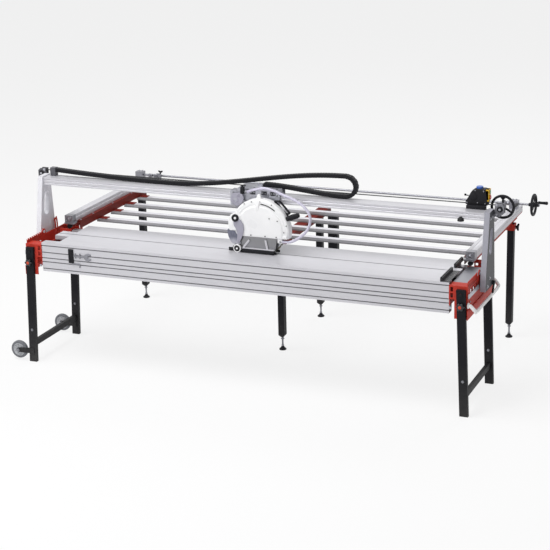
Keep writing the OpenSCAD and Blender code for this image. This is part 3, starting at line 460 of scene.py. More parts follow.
def plated(name, colour, rough=0.34, metal=0.75):
    """Zinc plate: soft crystal clouds, a faint blue cast in places and fine rolling lines."""
    f = Finish(name, metallic=metal)
    clouds = f.noise(26, detail=5.0, rough=0.65)
    cells = f.node("ShaderNodeTexVoronoi", {"Vector": f.place, "Scale": 240.0}, "Color")
    grey = f.node("ShaderNodeSeparateColor", {0: cells})
    mixed = clouds * 0.7 + grey * 0.3
    bluish = (colour[0] * 1.12, colour[1] * 1.13, colour[2] * 1.17)
    return f.done(f.mix(mixed, shade(colour, 0.8), bluish), rough - 0.08 + mixed * 0.2, grey, 0.06, 0.0001)


def moulded(name, colour, rough=0.5, grain=0.25, coat=0.0, scale=900, shine=0.3):
    """Moulded plastic: a fine eroded grain, and slightly shinier patches where it is handled."""
    f = Finish(name, coat_weight=coat, specular_ior_level=shine)
    grains, drift = f.noise(scale, detail=2.0), f.noise(9.0, detail=3.0)
    tone = f.mix(drift, shade(colour, 0.86), shade(colour, 1.2))
    return f.done(tone, rough - 0.07 + drift * 0.14, grains, grain, 0.0003)


def machined(name, colour, rough=0.28):
    """Turned or ground steel: a fine sparkle and faint stains."""
    f = Finish(name, metallic=0.9)
    fine, stain = f.noise(700, detail=2.0), f.noise(14, detail=5.0)
    tone = f.mix(stain, shade(colour, 0.82), shade(colour, 1.12))
    return f.done(tone, rough + fine * 0.1, fine, 0.08, 0.0001)


FINISH = {}


def make_finishes(look):
    """Every finish by its name in the record, and the extra ones of small pieces."""
    alu, red, black, white = tuple(look.aluminium), tuple(look.red), tuple(look.black), tuple(look.white)
    FINISH.update(
        aluminium=extruded("anodised_extrusion_x", alu),
        aluminium_y=extruded("anodised_extrusion_y", alu, along=1),
        dark_alu=extruded("black_anodised", (0.045, 0.046, 0.05), along=1, metal=0.4, rough=0.4),
        red_paint=coated("red_powder_coat", red, rough=0.46, coat=0.0, shine=0.14),
        black_paint=coated("black_powder_coat", black, rough=0.5, coat=0.0, dust=0.2, shine=0.1),
        white_tube=coated("white_tube_paint", white, rough=0.22, coat=0.3, peel=0.05, shine=0.5),
        zinc=plated("zinc_plate", (0.27, 0.27, 0.29)),
        bright_zinc=plated("bright_zinc_plate", (0.46, 0.46, 0.49)),
        dark_zinc=plated("dark_zinc_plate", (0.12, 0.122, 0.14), rough=0.4),
        black_plastic=moulded("black_moulded", black, shine=0.16),
        chain=moulded("chain_nylon", shade(black, 0.85), rough=0.55, shine=0.18),
        rubber=moulded("belt_rubber", (0.02, 0.02, 0.021), rough=0.72, grain=0.5, scale=500),
        tyre=moulded("grey_tyre", (0.15, 0.155, 0.17), rough=0.62, grain=0.35, scale=400),
        wheel_rim=moulded("wheel_rim", (0.42, 0.43, 0.45), rough=0.45),
        yellow=moulded("yellow_switch_plate", (0.82, 0.50, 0.02), rough=0.36, grain=0.1, coat=0.2),
        green=moulded("green_button", (0.03, 0.33, 0.07), rough=0.3, grain=0.05, coat=0.3),
        red_plastic=moulded("red_button", (0.62, 0.03, 0.02), rough=0.3, grain=0.05, coat=0.3),
        orange=moulded("orange_cap", (0.52, 0.06, 0.025), rough=0.4, grain=0.1),
        knob=moulded("knob_plastic", shade(black, 1.5), rough=0.3, shine=0.5),
        carriage=plated("carriage_plate", (0.42, 0.42, 0.46), rough=0.4, metal=0.5),
        blue=moulded("blue_inlet", (0.03, 0.12, 0.48), rough=0.36, grain=0.1, coat=0.2),
        steel=machined("machined_steel", (0.5, 0.51, 0.53)),
        motor_grey=coated("grey_motor_paint", (0.16, 0.165, 0.175), rough=0.4),
        white_shell=coated("white_guard_paint", white, rough=0.28, coat=0.2, peel=0.08, shine=0.45),
        dark_tray=moulded("tray_liner", (0.016, 0.017, 0.019), rough=0.45, grain=0.3, scale=300),
        sheet=extruded("shoe_sheet", (0.24, 0.24, 0.25), along=2, metal=0.85, rough=0.3),
        grey_plate=coated("grey_sheet", (0.36, 0.35, 0.42), rough=0.36, coat=0.1),
        smoke=smoke_finish(),
        hose=hose_finish(),
        planks=plank_finish(alu),
        shoe=shoe_finish(black),
        fence=fence_finish(),
        blade=blade_finish(),
        end_frame=end_frame_finish(red, black),
        brackets=bracket_finish(),
        front_beam=beam_finish(alu),
        uprights=upright_finish(),
        tubes=tube_finish(alu),
        side_beams=side_beam_finish(red),
    )


def smoke_finish():
    """Splash flap of smoked plastic: glossy and blue-black above, milky below where the spray dries."""
    f = Finish("smoked_flap", coat_weight=0.5, coat_roughness=0.1, roughness=0.25)
    milky_to = (middle("saw_blade")[2] - 76) / 1000
    streaks = f.noise(60, (3, 1, 0.4), 3.0)
    low = f.ramp(f.axis(2) + streaks * 0.03, milky_to, milky_to + 0.03, 1.0, 0.0)
    smoked = f.mix(streaks, (0.035, 0.04, 0.075), (0.20, 0.21, 0.28))
    return f.done(f.mix(low, smoked, (0.42, 0.42, 0.48)), None, streaks, 0.05)


def hose_finish():
    """Clear hose with a milky violet wall, in which faint veins show."""
    f = Finish("hose_skin", roughness=0.22, coat_weight=0.3, transmission_weight=0.25, ior=1.42)
    veins = f.noise(60, detail=2.0)
    return f.done(f.mix(veins, (0.66, 0.63, 0.78), (0.80, 0.77, 0.90)), None, veins, 0.05)


def plank_finish(colour):
    """Table planks: die lines, fine lengthways scratches and pale dried water marks where the slabs lie."""
    f = Finish("table_planks", metallic=0.25)
    lines, marks = f.die_lines(), f.noise(7.0, (1, 2, 1), 5.0, 0.65)
    scratches = f.ramp(f.noise(160, (0.02, 1, 1), 1.0), 0.62, 0.7, 0.0, 1.0)
    tone = f.mix(lines * 0.4 + marks * 0.6, shade(colour, 0.9), shade(colour, 1.08))
    tone = f.mix(scratches * 0.35, tone, shade(colour, 0.72))
    return f.done(tone, 0.3 + lines * 0.08 + marks * 0.12, lines - scratches * 0.5, 0.12, 0.0002)


def shoe_finish(black):
    """The shoe's sheet skirt is grey and its guide bars, 19 mm high above the table, are black."""
    f = Finish("shoe_sheet_and_bars", metallic=0.3)
    bar = f.axis(2) < (TABLE_TOP + 19) / 1000
    clouds = f.noise(30, detail=4.0)
    sheet = f.mix(clouds, (0.25, 0.25, 0.27), (0.36, 0.36, 0.38))
    return f.done(f.mix(bar, sheet, black), 0.34 + clouds * 0.15, clouds, 0.05)


def fence_finish():
    """Black anodised fence with a plain scale on top: a fine pale tick every 10 mm and a longer one every
    50 mm."""
    f = Finish("fence_with_scale", metallic=0.1, specular_ior_level=0.2)
    y = f.axis(1)
    ticks = (y.wrap(0.01) < 0.0011) * 0.6 + (y.wrap(0.05) < 0.0016) * 0.5
    on_top = f.axis(2, f.node("ShaderNodeNewGeometry", out="Normal")) > 0.9
    grain = f.noise(500, (1, 0.01, 1), 2.0)
    tone = f.mix(ticks * on_top, f.mix(grain, (0.02, 0.02, 0.023), (0.035, 0.035, 0.04)), (0.6, 0.6, 0.6))
    return f.done(tone, 0.36 + grain * 0.1, grain, 0.08, 0.0002)


def blade_finish():
    """Ground blade steel: rings round the hub and a dark, rough diamond rim."""
    f = Finish("blade_steel", metallic=0.85)
    hub = (middle("saw_blade") - SHIFT) / 1000
    x, z = f.axis(0) - hub[0], f.axis(2) - hub[2]
    at_hub = f.node("ShaderNodeMapping", {"Vector": f.place, "Location": list(-hub)})
    waves = {"Vector": at_hub, "Scale": 120.0, "Distortion": 1.5, "Detail": 2.0}
    rings = f.node("ShaderNodeTexWave", waves, wave_type="RINGS", rings_direction="SPHERICAL")
    grit = f.noise(900, detail=2.0)
    rim = (x * x + z * z).math("SQRT") > 0.165
    ground = f.mix(rings, (0.38, 0.39, 0.41), (0.56, 0.57, 0.59))
    diamond = f.mix(grit, (0.10, 0.095, 0.085), (0.3, 0.28, 0.24))
    return f.done(f.mix(rim, ground, diamond), 0.26 + rings * 0.1 + rim * 0.4, grit * rim, 0.4, 0.0003)


def end_frame_finish(red, black):
    """Red coat, with black heads on the pins that stand in front of and behind the legs."""
    f = Finish("end_frame_coat", specular_ior_level=0.14)
    y = f.axis(1)
    front, back = ((y_of_leg - SHIFT[1]) / 1000 for y_of_leg in LEG_FACES_Y)
    heads = (y < front) + (y > back)
    peels, drift = f.peel_and_drift()
    tone = f.mix(heads, f.mix(drift, shade(red, 0.88), shade(red, 1.14)), black)
    return f.done(tone, 0.42 + drift * 0.12, peels, 0.2, 0.0003)


def beam_finish(colour):
    """Front beam: die lines and handling marks, and painted shade in its T-slots, which begin 1 mm behind the
    face."""
    f = Finish("front_beam_extrusion", metallic=0.25)
    lines, marks = f.die_lines(), f.noise(5.0, (1, 2.5, 2.5), 4.0)
    depth = f.axis(1) - (BEAM_LOW[1] - SHIFT[1]) / 1000
    height = f.axis(2)
    # painted shade: the T-slots' walls and floors are painted dark for the shade inside them
    groove = (depth > 0.0008) * (depth < 0.0036) * (height < 0.857) * (height > 0.663)
    tone = f.mix(lines * 0.5 + marks * 0.5, shade(colour, 0.9), shade(colour, 1.06))
    tone = f.mix(groove * 0.85, tone, (0.09, 0.09, 0.1))
    return f.done(tone, 0.32 + lines * 0.1 + groove * 0.3, lines, 0.12, 0.0002)


def bracket_finish():
    """Pulley brackets: the idler's one on the left is dark, the driven one on the right is lighter."""
    f = Finish("pulley_bracket_plate", metallic=0.2, specular_ior_level=0.3)
    clouds = f.noise(26, detail=5.0)
    light = f.mix(clouds, (0.19, 0.19, 0.21), (0.29, 0.29, 0.32))
    dark = f.mix(clouds, (0.075, 0.075, 0.085), (0.13, 0.13, 0.145))
    return f.done(f.mix(f.axis(0) < 0.0, light, dark), 0.34 + clouds * 0.14, clouds, 0.06, 0.0001)


def upright_finish():
    """Uprights of folded sheet: the left one is painted bright and the right one dull for their different
    reflections, and the right one's outer side is painted dark blue-grey as shade."""
    f = Finish("upright_sheet", metallic=0.1, specular_ior_level=0.2)
    brushed, clouds = f.noise(300, (1, 1, 0.01), 2.0), f.noise(6.0, detail=4.0)
    both = brushed * 0.5 + clouds * 0.5
    bright = f.mix(both, (0.62, 0.62, 0.66), (0.86, 0.86, 0.90))
    dull = f.mix(both, (0.26, 0.26, 0.31), (0.44, 0.44, 0.49))
    dark = f.mix(clouds, (0.02, 0.021, 0.026), (0.045, 0.047, 0.057))
    # painted light: the left upright is painted lighter than the right for their reflections, and the right
    # one's +X faces are painted dark for shade
    tone = f.mix(f.axis(0) > 0.0, bright, f.mix(f.facing(0) > 0.6, dull, dark))
    return f.done(tone, 0.34 + brushed * 0.1 + clouds * 0.06, brushed, 0.08, 0.0002)


def side_beam_finish(red):
    """Red coat, painted a little darker all over for shade, and painted much darker on the lugs inside the
    beams for the shade they lie in.
    """
    f = Finish("side_beam_coat", specular_ior_level=0.12, roughness=0.5)
    lug = f.axis(0).math("ABSOLUTE") < (SIDE_BEAM_INNER_X - SHIFT[0]) / 1000
    peels, drift = f.peel_and_drift()
    # painted shade: the whole coat is darker than the end frames' red
    coat = f.mix(drift, shade(red, 0.72), shade(red, 0.95))
    # painted shade: the lugs inside the beams are much darker
    return f.done(f.mix(lug, coat, f.mix(drift, shade(red, 0.22), shade(red, 0.4))), None, peels, 0.2, 0.0003)


def tube_finish(colour):
    """Support tubes: tops painted bright as lit from above, and sides painted a dull grey for shade, darker
    still towards the foot as painted shade.
    """
    f = Finish("support_tube_extrusion", metallic=0.2)
    lines = f.die_lines()
    low, high = (float(corner[2]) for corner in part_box("support_tubes"))
    # painted shade: the sides, darker still on their lower part
    side = f.mix(f.axis(2) < (low + 0.35 * (high - low)), shade(colour, 0.62), shade(colour, 0.34))
    # painted highlight: the upward faces, as lit from above
    top = f.mix(lines, shade(colour, 1.12), shade(colour, 1.3))
    tone = f.mix(f.ramp(f.facing(2), 0.3, 0.8, 0.0, 1.0), side, top)
    return f.done(tone, 0.32 + lines * 0.1, lines, 0.12, 0.0002)


SPECIAL_FINISH = {  # CAD nodes with a finer finish than that of their slot
    "table_planks": "planks", "side_rails": "aluminium_y", "cross_members": "aluminium_y",
    "base_shoe": "shoe", "cross_fence": "fence", "saw_blade": "blade", "left_end_frame": "end_frame",
    "right_end_frame": "end_frame", "pulley_brackets": "brackets", "front_beam": "front_beam",
    "bridge_uprights": "uprights", "side_beams": "side_beams", "middle_beam": "side_beams",
    "carriage": "carriage", "support_tubes": "tubes",
}


def finish_frame():
    """Gives every CAD node the finish of its material slot in the record, or a finer one where there is
    one."""
    slots = {part["node"]: part["material_slot"] for part in frame["record"]["subparts"]}
    for name, node in frame["nodes"].items():
        node.data.materials.clear()
        node.data.materials.append(FINISH[SPECIAL_FINISH.get(name, slots[name])])


# ---- sizes that a user would change ---------------------------------------------------------


def tint(name, description, value):
    """Colour property with its value at the start."""
    limits = {"size": 3, "min": 0, "max": 1}
    return FloatVectorProperty(name=name, description=description, subtype="COLOR", default=value, **limits)


def extent(name, description, value, low, high):
    """Property for a length in millimetres with its value at the start and its limits."""
    return FloatProperty(name=name, description=description, default=value, min=low, max=high)


class TileSawLook(bpy.types.PropertyGroup):
    """Colours that a user would change"""

    aluminium: tint("Aluminium", "Colour of the anodised profiles", (0.60, 0.595, 0.63))
    red: tint("Red coat", "Colour of the end frames and side beams", (0.50, 0.042, 0.027))
    black: tint("Black coat", "Colour of the legs and knobs", (0.0125, 0.0125, 0.0155))
    white: tint("White coat", "Colour of the blade guard", (0.91, 0.91, 0.925))


class TileSawSizes(bpy.types.PropertyGroup):
    """Sizes that a user would change"""

    link_pitch: extent("Link pitch", "Distance from link to link of the energy chain", 38.0, 20, 60)
    bend_radius: extent("Bend radius", "Radius of the chain's bend", 67.0, 50, 120)
    hose_radius: extent("Hose radius", "Outer radius of the water hose", 9.0, 4, 14)
    knob_lobes: IntProperty(name="Knob lobes", description="Lobes of the star knobs", default=6, min=3, max=9)
    guard_shoulder: extent("Guard shoulder", "Radius of the guard's rounded edge", 13.0, 4, 24)


class TILESAW_OT_finishes(bpy.types.Operator):
    """Makes the finishes and gives them to the frame's nodes"""

    bl_idname = "tilesaw.finishes"
    bl_label = "Finishes"

    def execute(self, context):
        make_finishes(context.scene.tile_saw_look)
        finish_frame()
        return {"FINISHED"}


# ---- stage ----------------------------------------------------------------------------------

FOCAL_PX = 1617.68
FRAME_PX = 550
CAMERA_AT = (4074.9, -9088.7, 3877.2)
CAMERA_YAW, CAMERA_PITCH, CAMERA_ROLL = 0.3951, 0.3027, -0.0236
AMBIENT = 0.34  # strength of the surroundings on the object
FLOOR_GLOW = 0.8  # share of plain white in the floor that the camera sees
FLOOR_REACH = 60000
LAMPS = (  # name, place, what it points at, size in metres, power in watts
    ("key", (-2.0, -2.5, 7.5), (0, 0, 0.8), (5, 3.5), 400),
    ("fill", (-2.5, -8.0, 3.2), (0, 0, 0.8), (4, 3), 150),
    ("back", (1.5, 6.0, 6.5), (0, 0.2, 0.9), (5, 3), 150),
)


def for_camera(tree, strength):
    """Value that is the strength for camera, glossy and transmission rays, and 0 for all others."""
    path = tree.nodes.new("ShaderNodeLightPath")
    ray = Val(tree, path.outputs["Is Camera Ray"])
    for other in ("Is Glossy Ray", "Is Transmission Ray"):
        ray = ray.math("MAXIMUM", Val(tree, path.outputs[other]))
    return ray * strength


def aim_camera(cam):
    """Turns the camera by its yaw, then its pitch, then about its own line of sight."""
    cam.data.lens, cam.data.sensor_width = 36 * FOCAL_PX / FRAME_PX, 36
    cam.data.clip_start, cam.data.clip_end = 0.1, 200
    level = math.cos(CAMERA_PITCH)
    ahead = Vector((-math.sin(CAMERA_YAW) * level, math.cos(CAMERA_YAW) * level, -math.sin(CAMERA_PITCH)))
    right = ahead.cross(Vector((0, 0, 1))).normalized()
    up = right.cross(ahead)
    c, s = math.cos(CAMERA_ROLL), math.sin(CAMERA_ROLL)
    turn = Matrix((c * right + s * up, c * up - s * right, -ahead)).transposed().to_4x4()
    cam.matrix_world = Matrix.Translation(in_frame(CAMERA_AT)) @ turn


def add_lamp(name, at, aim, size, power):
    """Rectangular lamp that points at a place; all in metres."""
    data = bpy.data.lights.new(name, "AREA")
    data.shape, data.size, data.size_y, data.energy = "RECTANGLE", size[0], size[1], power
    obj = bpy.data.objects.new(name, data)
    obj.location = at
    obj.rotation_euler = (Vector(aim) - Vector(at)).to_track_quat("-Z", "Y").to_euler()
    bpy.context.scene.collection.objects.link(obj)


def floor_finish():
    """Pale floor that takes soft shadows, mixed with plain white for what the camera sees."""
    pale = Finish("pale_floor", roughness=0.9)
    tone = pale.mix(pale.noise(0.3), (0.86, 0.86, 0.87), (0.9, 0.9, 0.9))
    feed(pale.tree, tone, pale.shader.inputs["Base Color"])
    glow = pale.tree.nodes.new("ShaderNodeEmission")
    blend = pale.tree.nodes.new("ShaderNodeMixShader")
    out = next(node for node in pale.tree.nodes if node.type == "OUTPUT_MATERIAL")
    feed(pale.tree, for_camera(pale.tree, FLOOR_GLOW), blend.inputs[0])
    pale.tree.links.new(pale.shader.outputs[0], blend.inputs[1])
    pale.tree.links.new(glow.outputs[0], blend.inputs[2])
    pale.tree.links.new(blend.outputs[0], out.inputs[0])
    return pale.material


class TILESAW_OT_stage(bpy.types.Operator):
    """Makes the camera, the soft studio light, the pale floor and the white surroundings"""

    bl_idname = "tilesaw.stage"
    bl_label = "Stage"

    def execute(self, context):
        scene = context.scene
        scene.view_settings.view_transform = "Standard"
        cam = bpy.data.objects.new("camera", bpy.data.cameras.new("camera"))
        aim_camera(cam)
        scene.collection.objects.link(cam)
        scene.camera = cam
        world = bpy.data.worlds.new("studio")
        scene.world = world
        world.use_nodes = True
        sky = world.node_tree.nodes["Background"]
        sky.inputs[0].default_value = (1, 1, 1, 1)
        feed(world.node_tree, for_camera(world.node_tree, 1 - AMBIENT) + AMBIENT, sky.inputs[1])
        for lamp in LAMPS:
            add_lamp(*lamp)
        side = np.linspace(-FLOOR_REACH, FLOOR_REACH, 13)
        level = np.stack(np.meshgrid(side, side, [-1.0]), -1)[:, :, 0]
        mesh_of("floor", Shell().grid(level), floor_finish())
        return {"FINISHED"}


# ---- the water hose -------------------------------------------------------------------------

SLOT_Y = 263.0  # the cutting slot
HOSE_ROUTE = (  # X, Y from the cutting slot, Z from the blade's middle
    (-34, 27, 235), (-14, 27, 235), (30, 23, 251), (100, 21, 267), (170, 19, 257), (237, 17, 234),
    (300, 13, 215), (365, 7, 185), (410, 1, 145), (429, -3, 108), (430, -8, 69), (420, -13, 34),
    (400, -17, 4), (375, -20, -21), (335, -22, -49), (300, -23, -65), (268, -23, -69), (241, -23, -69),
)


class TILESAW_OT_hose(bpy.types.Operator):
    """Makes the water hose on its route from the carriage round to the guard, with its two clips"""

    bl_idname = "tilesaw.hose"
    bl_label = "Water hose"

    def execute(self, context):
        r = context.scene.tile_saw_sizes.hose_radius
        route = np.array(HOSE_ROUTE) + [0, SLOT_Y, middle("saw_blade")[2]]
        path = smooth_path(route, 90)
        tube = make("hose", Shell().tube(path, r, 16), "hose", None, "water_hose", sharp=60)
        for name, body, at, band_x, ear_x in (
            ("hose_clip_valve", "carriage", route[0], 2, 4),
            ("hose_clip_guard", "head", route[-1], -14, -12),
        ):
            band = [[r + 0.3, -1], [r + 2.4, -1], [r + 2.8, 3], [r + 2.4, 12], [r + 0.3, 12.5]]
            clip = Shell().lathe(band, at + [band_x, 0, 0], "x", 24, closed=True)
            clip.block(at + [ear_x, -3, r + 1.5], at + [ear_x + 6, 3, r + 8], 1)
            make(name, clip, "zinc", body)
        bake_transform(tube)
        points = (path - SHIFT) / 1000
        return {"FINISHED"}


# ---- the energy chain -----------------------------------------------------------------------

RUN_START_X, RUN_RISE_X, RUN_LINKS = -1500.0, -640.0, 56  # the upper run's start and where it starts to rise
TAIL_X = 50.0  # the lower run's end on the carriage
RUN_ABOVE_BEAM, TAIL_ABOVE_BEAM, RUN_CLIMB = 14.0, 55.0, 135.0


def chain_link(pitch, height=26.0, width=38.0):
    """One link along +X: two outer plates with a waist groove, two tongues that fill the joint to the next
    plates, pins and two bars that close the chain above and below."""
    h, half, w = height / 2, pitch / 2, width / 2
    link = Shell()
    for side in (-1, 1):
        for x0, x1 in ((-half + 0.5, -0.5), (0.5, half - 0.5)):
            outer = rounded([[x0, -h], [x1, -h], [x1, h], [x0, h]], 2.2, 3)
            link.prism(outer, "y", *on_side(side, w, w - 4), 0.9)
        a, b = on_side(side, w - 2.5, w - 8)
        link.block((-half - 1, a, -h + 1.5), (half + 1, b, h - 1.5), 0.6, "y")
        link.lathe([[0, 1.2], [3.0, 1.2], [4.0, 0]], (-half / 2, side * w, 0), "y", 10, sign=side)
    for z in (-h + 0.5, h - 3):
        for x0, x1 in ((-half + 1, -1), (1, half - 1)):
            link.block((x0, -w + 3, z), (x1, w - 3, z + 2.5), 0.8, "y")
    return link


def chain_frames(points, y):
    """Frames of the links whose ends follow each other in points (X, Z)."""
    centres, along = (points[1:] + points[:-1]) / 2, unit(points[1:] - points[:-1])
    across = np.array([0.0, 1.0, 0.0])
    return [(np.array([cx, y, cz]), np.array([dx, 0, dz]), across, np.array([-dz, 0, dx]))
            for (cx, cz), (dx, dz) in zip(centres, along)]


def eased(x, start, end):
    """Goes from 0 to 1 along half a cosine as x goes from start to end."""
    return (1 - np.cos(np.pi * np.clip((x - start) / (end - start), 0, 1))) / 2


class TILESAW_OT_chain(bpy.types.Operator):
    """Makes the energy chain link by link: the upper run, the bend and the lower run"""

    bl_idname = "tilesaw.chain"
    bl_label = "Energy chain"

    def execute(self, context):
        size = context.scene.tile_saw_sizes
        pitch, bend = size.link_pitch, size.bend_radius
        y = middle("chain_loop")[1]
        beam_top = spot("bridge_beam")[1][2]
        bend_x = RUN_START_X + RUN_LINKS * pitch
        flat_z, tail_z = beam_top + RUN_ABOVE_BEAM, beam_top + TAIL_ABOVE_BEAM
        top_z = flat_z + RUN_CLIMB
        x = RUN_START_X + np.arange(RUN_LINKS + 1) * pitch
        hump = 28.0 * np.maximum(0, 1 - (x - RUN_START_X) / 900) ** 2
        upper = np.stack([x, flat_z + hump + (top_z - flat_z) * eased(x, RUN_RISE_X, bend_x)], 1)
        turns = round(math.pi * bend / pitch)
        a = np.radians(90 - np.arange(turns + 1) * 180 / turns)
        loop = np.stack([bend_x + bend * np.cos(a), top_z - bend + bend * np.sin(a)], 1)
        x = bend_x - np.arange(int((bend_x - TAIL_X) // pitch) + 1) * pitch
        lower = np.stack([x, tail_z + (top_z - 2 * bend - tail_z) * eased(x, TAIL_X, bend_x)], 1)
        link = chain_link(pitch)
        pieces = []
        for name, points, body, node in (
            ("chain_upper_run", upper, None, "chain_upper"),
            ("chain_bend", loop, "chain_loop", "chain_loop"),
            ("chain_lower_run", lower, None, "chain_lower"),
        ):
            pieces.append(make(name, link.copies(chain_frames(points, y)), "chain", body, node, sharp=40))
        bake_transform(pieces[0])
        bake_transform(pieces[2])
        return {"FINISHED"}


# ---- the saw head ---------------------------------------------------------------------------

GUARD_RADIUS, GUARD_HALF = 205.0, 33.0
GUARD_DROP = 48.0  # how far the guard reaches below the blade's middle
FACE_SCREWS_WITHIN = 150  # nearer than this to the middle the guard's face bulges, and its screws stand out
FIN = [[-28, 193], [-24, 211], [-16, 235], [2, 237], [10, 215], [26, 193]]
RIB = [[-24, 132], [-6, 128], [10, 201], [-26, 201]]
NOSE = [[-219, 50], [-204, 90], [-165, 106], [-132, 90], [-126, 40], [-158, -14], [-214, -18], [-220, 16]]
SICKLE = [[-176, 66], [-137, 70], [-111, 32], [-107, -2], [-112, -26], [-128, -72], [-150, -104], [-160, -92],
          [-154, -40], [-162, -2], [-182, 22]]
WINDOW = [[92, 190], [128, 192], [198, 116], [172, 108]]
PIVOT_PLATE = [[-214, 216], [-147, 225], [-132, 189], [-150, 150], [-189, 130], [-232, 163]]
CHEEK = [[-226, -14], [-176, -18], [-158, -44], [-142, -76], [-134, -106], [-192, -106], [-212, -84],
         [-224, -52]]
GUARD_SCREWS = ((-104, 168), (-52, 186), (88, 174), (128, 71), (188, 42), (170, -4), (-200, 14), (71, 83),
                (-212, 56), (-60, -38), (40, -38), (118, -38))


class TILESAW_OT_guard(bpy.types.Operator):
    """Makes the blade guard's pressed shell with its rim, hem, fin, nose, curved plate and screws"""

    bl_idname = "tilesaw.guard"
    bl_label = "Blade guard"

    def execute(self, context):
        e = context.scene.tile_saw_sizes.guard_shoulder
        hub = middle("saw_blade")
        front = hub[1] - GUARD_HALF
        start = math.asin(GUARD_DROP / GUARD_RADIUS)
        a = np.linspace(-start, math.pi + start, 121)
        q = np.linspace(0, np.pi / 2, 6)
        rise = np.linspace(0, 1, 44)
        cos, sin = np.cos(a)[:, None], np.sin(a)[:, None]
        inner = GUARD_RADIUS - e
        face_z = -GUARD_DROP + (inner * sin + GUARD_DROP) * rise[None]
        face_x = inner * cos + 0 * face_z
        r = np.hypot(face_x, face_z)
        middle_part = smooth_step(r, 160, 12)
        bulge = 5.0 * middle_part + 2.2 * smooth_step(face_z, 17 - GUARD_DROP, 5) * (1 - middle_part)
        bulge = bulge + 2.0 * np.exp(-(((r - 178) / 3.0) ** 2))
        front_face = np.stack([face_x, -bulge, face_z], -1)
        ring_r, ring_y = inner + e * np.sin(q), e * (1 - np.cos(q))
        rim_front = np.stack([ring_r * cos, ring_y + 0 * cos, ring_r * sin], -1)
        rim_back = rim_front[:, ::-1].copy()
        rim_back[..., 1] = 2 * GUARD_HALF - rim_back[..., 1]
        back_face = np.stack([face_x, np.full_like(face_z, 2 * GUARD_HALF), face_z], -1)[:, ::-1]
        skin = np.concatenate([front_face[:, :-1], rim_front, rim_back, back_face[:, 1:]], 1)
        shell = Shell().grid(skin + [hub[0], front, hub[2]])
        thicken(make("guard_shell", shell, "white_shell", "head", "blade_guard", sharp=40), 0.0028, -1)
        self.trim(hub, front)
        self.fittings(hub, front, hub[1] + GUARD_HALF)
        return {"FINISHED"}

    def trim(self, hub, front):
        """The fin on top, the rib below it, the lug for the hose, the nose with its boss, and the curved
        plate."""
        x, z = at = hub[[0, 2]]
        trim = Shell()
        trim.prism(rounded(FIN, 6) + at, "y", front + 12, front + 26, 3)
        trim.prism(rounded(RIB, 4) + at, "y", front - 7, front + 2, 2.5)
        trim.block((x + 122, front + 1, z - 80), (x + 156, front + 21, z - GUARD_DROP + 3), 4)
        trim.prism(rounded(NOSE, 12) + at, "y", front - 7, front + 8, 3)
        trim.lathe([[0, 5], [9, 5], [11, 3], [11, 0], [0, 0]], (x - 196, front - 3, z + 30), "y", 24, sign=-1)
        make("guard_trim", trim, "white_shell", "head")
        sickle = Shell().prism(rounded(SICKLE, 16, 6) + at, "y", front - 12.5, front - 8.5, 1.4)
        make("guard_sickle", sickle, "grey_plate", "head")

    def fittings(self, hub, front, back):
        """The screws and the dark curved slot, the open bracket to the carriage, and the plate at the
        arm's pivot."""
        x, z = at = hub[[0, 2]]
        screws = Shell()
        for dx, dz in GUARD_SCREWS:
            out = 6.0 if math.hypot(dx, dz) < FACE_SCREWS_WITHIN else 1.0
            screws.socket((x + dx, front - out, z + dz), "y", 3.6, 4.0, sign=-1)
        b = np.radians(np.linspace(51, 86, 22))
        line = np.stack([x + 175 * np.cos(b), np.full_like(b, front - 2.6), z + 175 * np.sin(b)], 1)
        screws.tube(line, 3.4, 8, flat=0.6)
        make("guard_screws", screws, "black_plastic", "head")
        ring = rounded(WINDOW, 8, 6) + at
        path = np.insert(ring, 1, back - 22, axis=1)
        window = Shell().tube(path, 6.5, 10, loop=True, flat=1.4)
        window.block((x + 150, back - 30, z + 92), (x + 186, back - 14, z + 118), 4)
        make("head_window", window, "black_plastic", "head")
        plate = Shell().prism(rounded(PIVOT_PLATE, 9, 5) + at, "y", back - 5, back + 0.2, 1)
        bolts = [(x + dx, back - 5, z + dz) for dx, dz in ((-209, 165), (-180, 168), (-172, 206))]
        plate.hexagons(bolts, "y", 6.5, 5, sign=-1)
        make("arm_pivot_plate", plate, "grey_plate", "head")


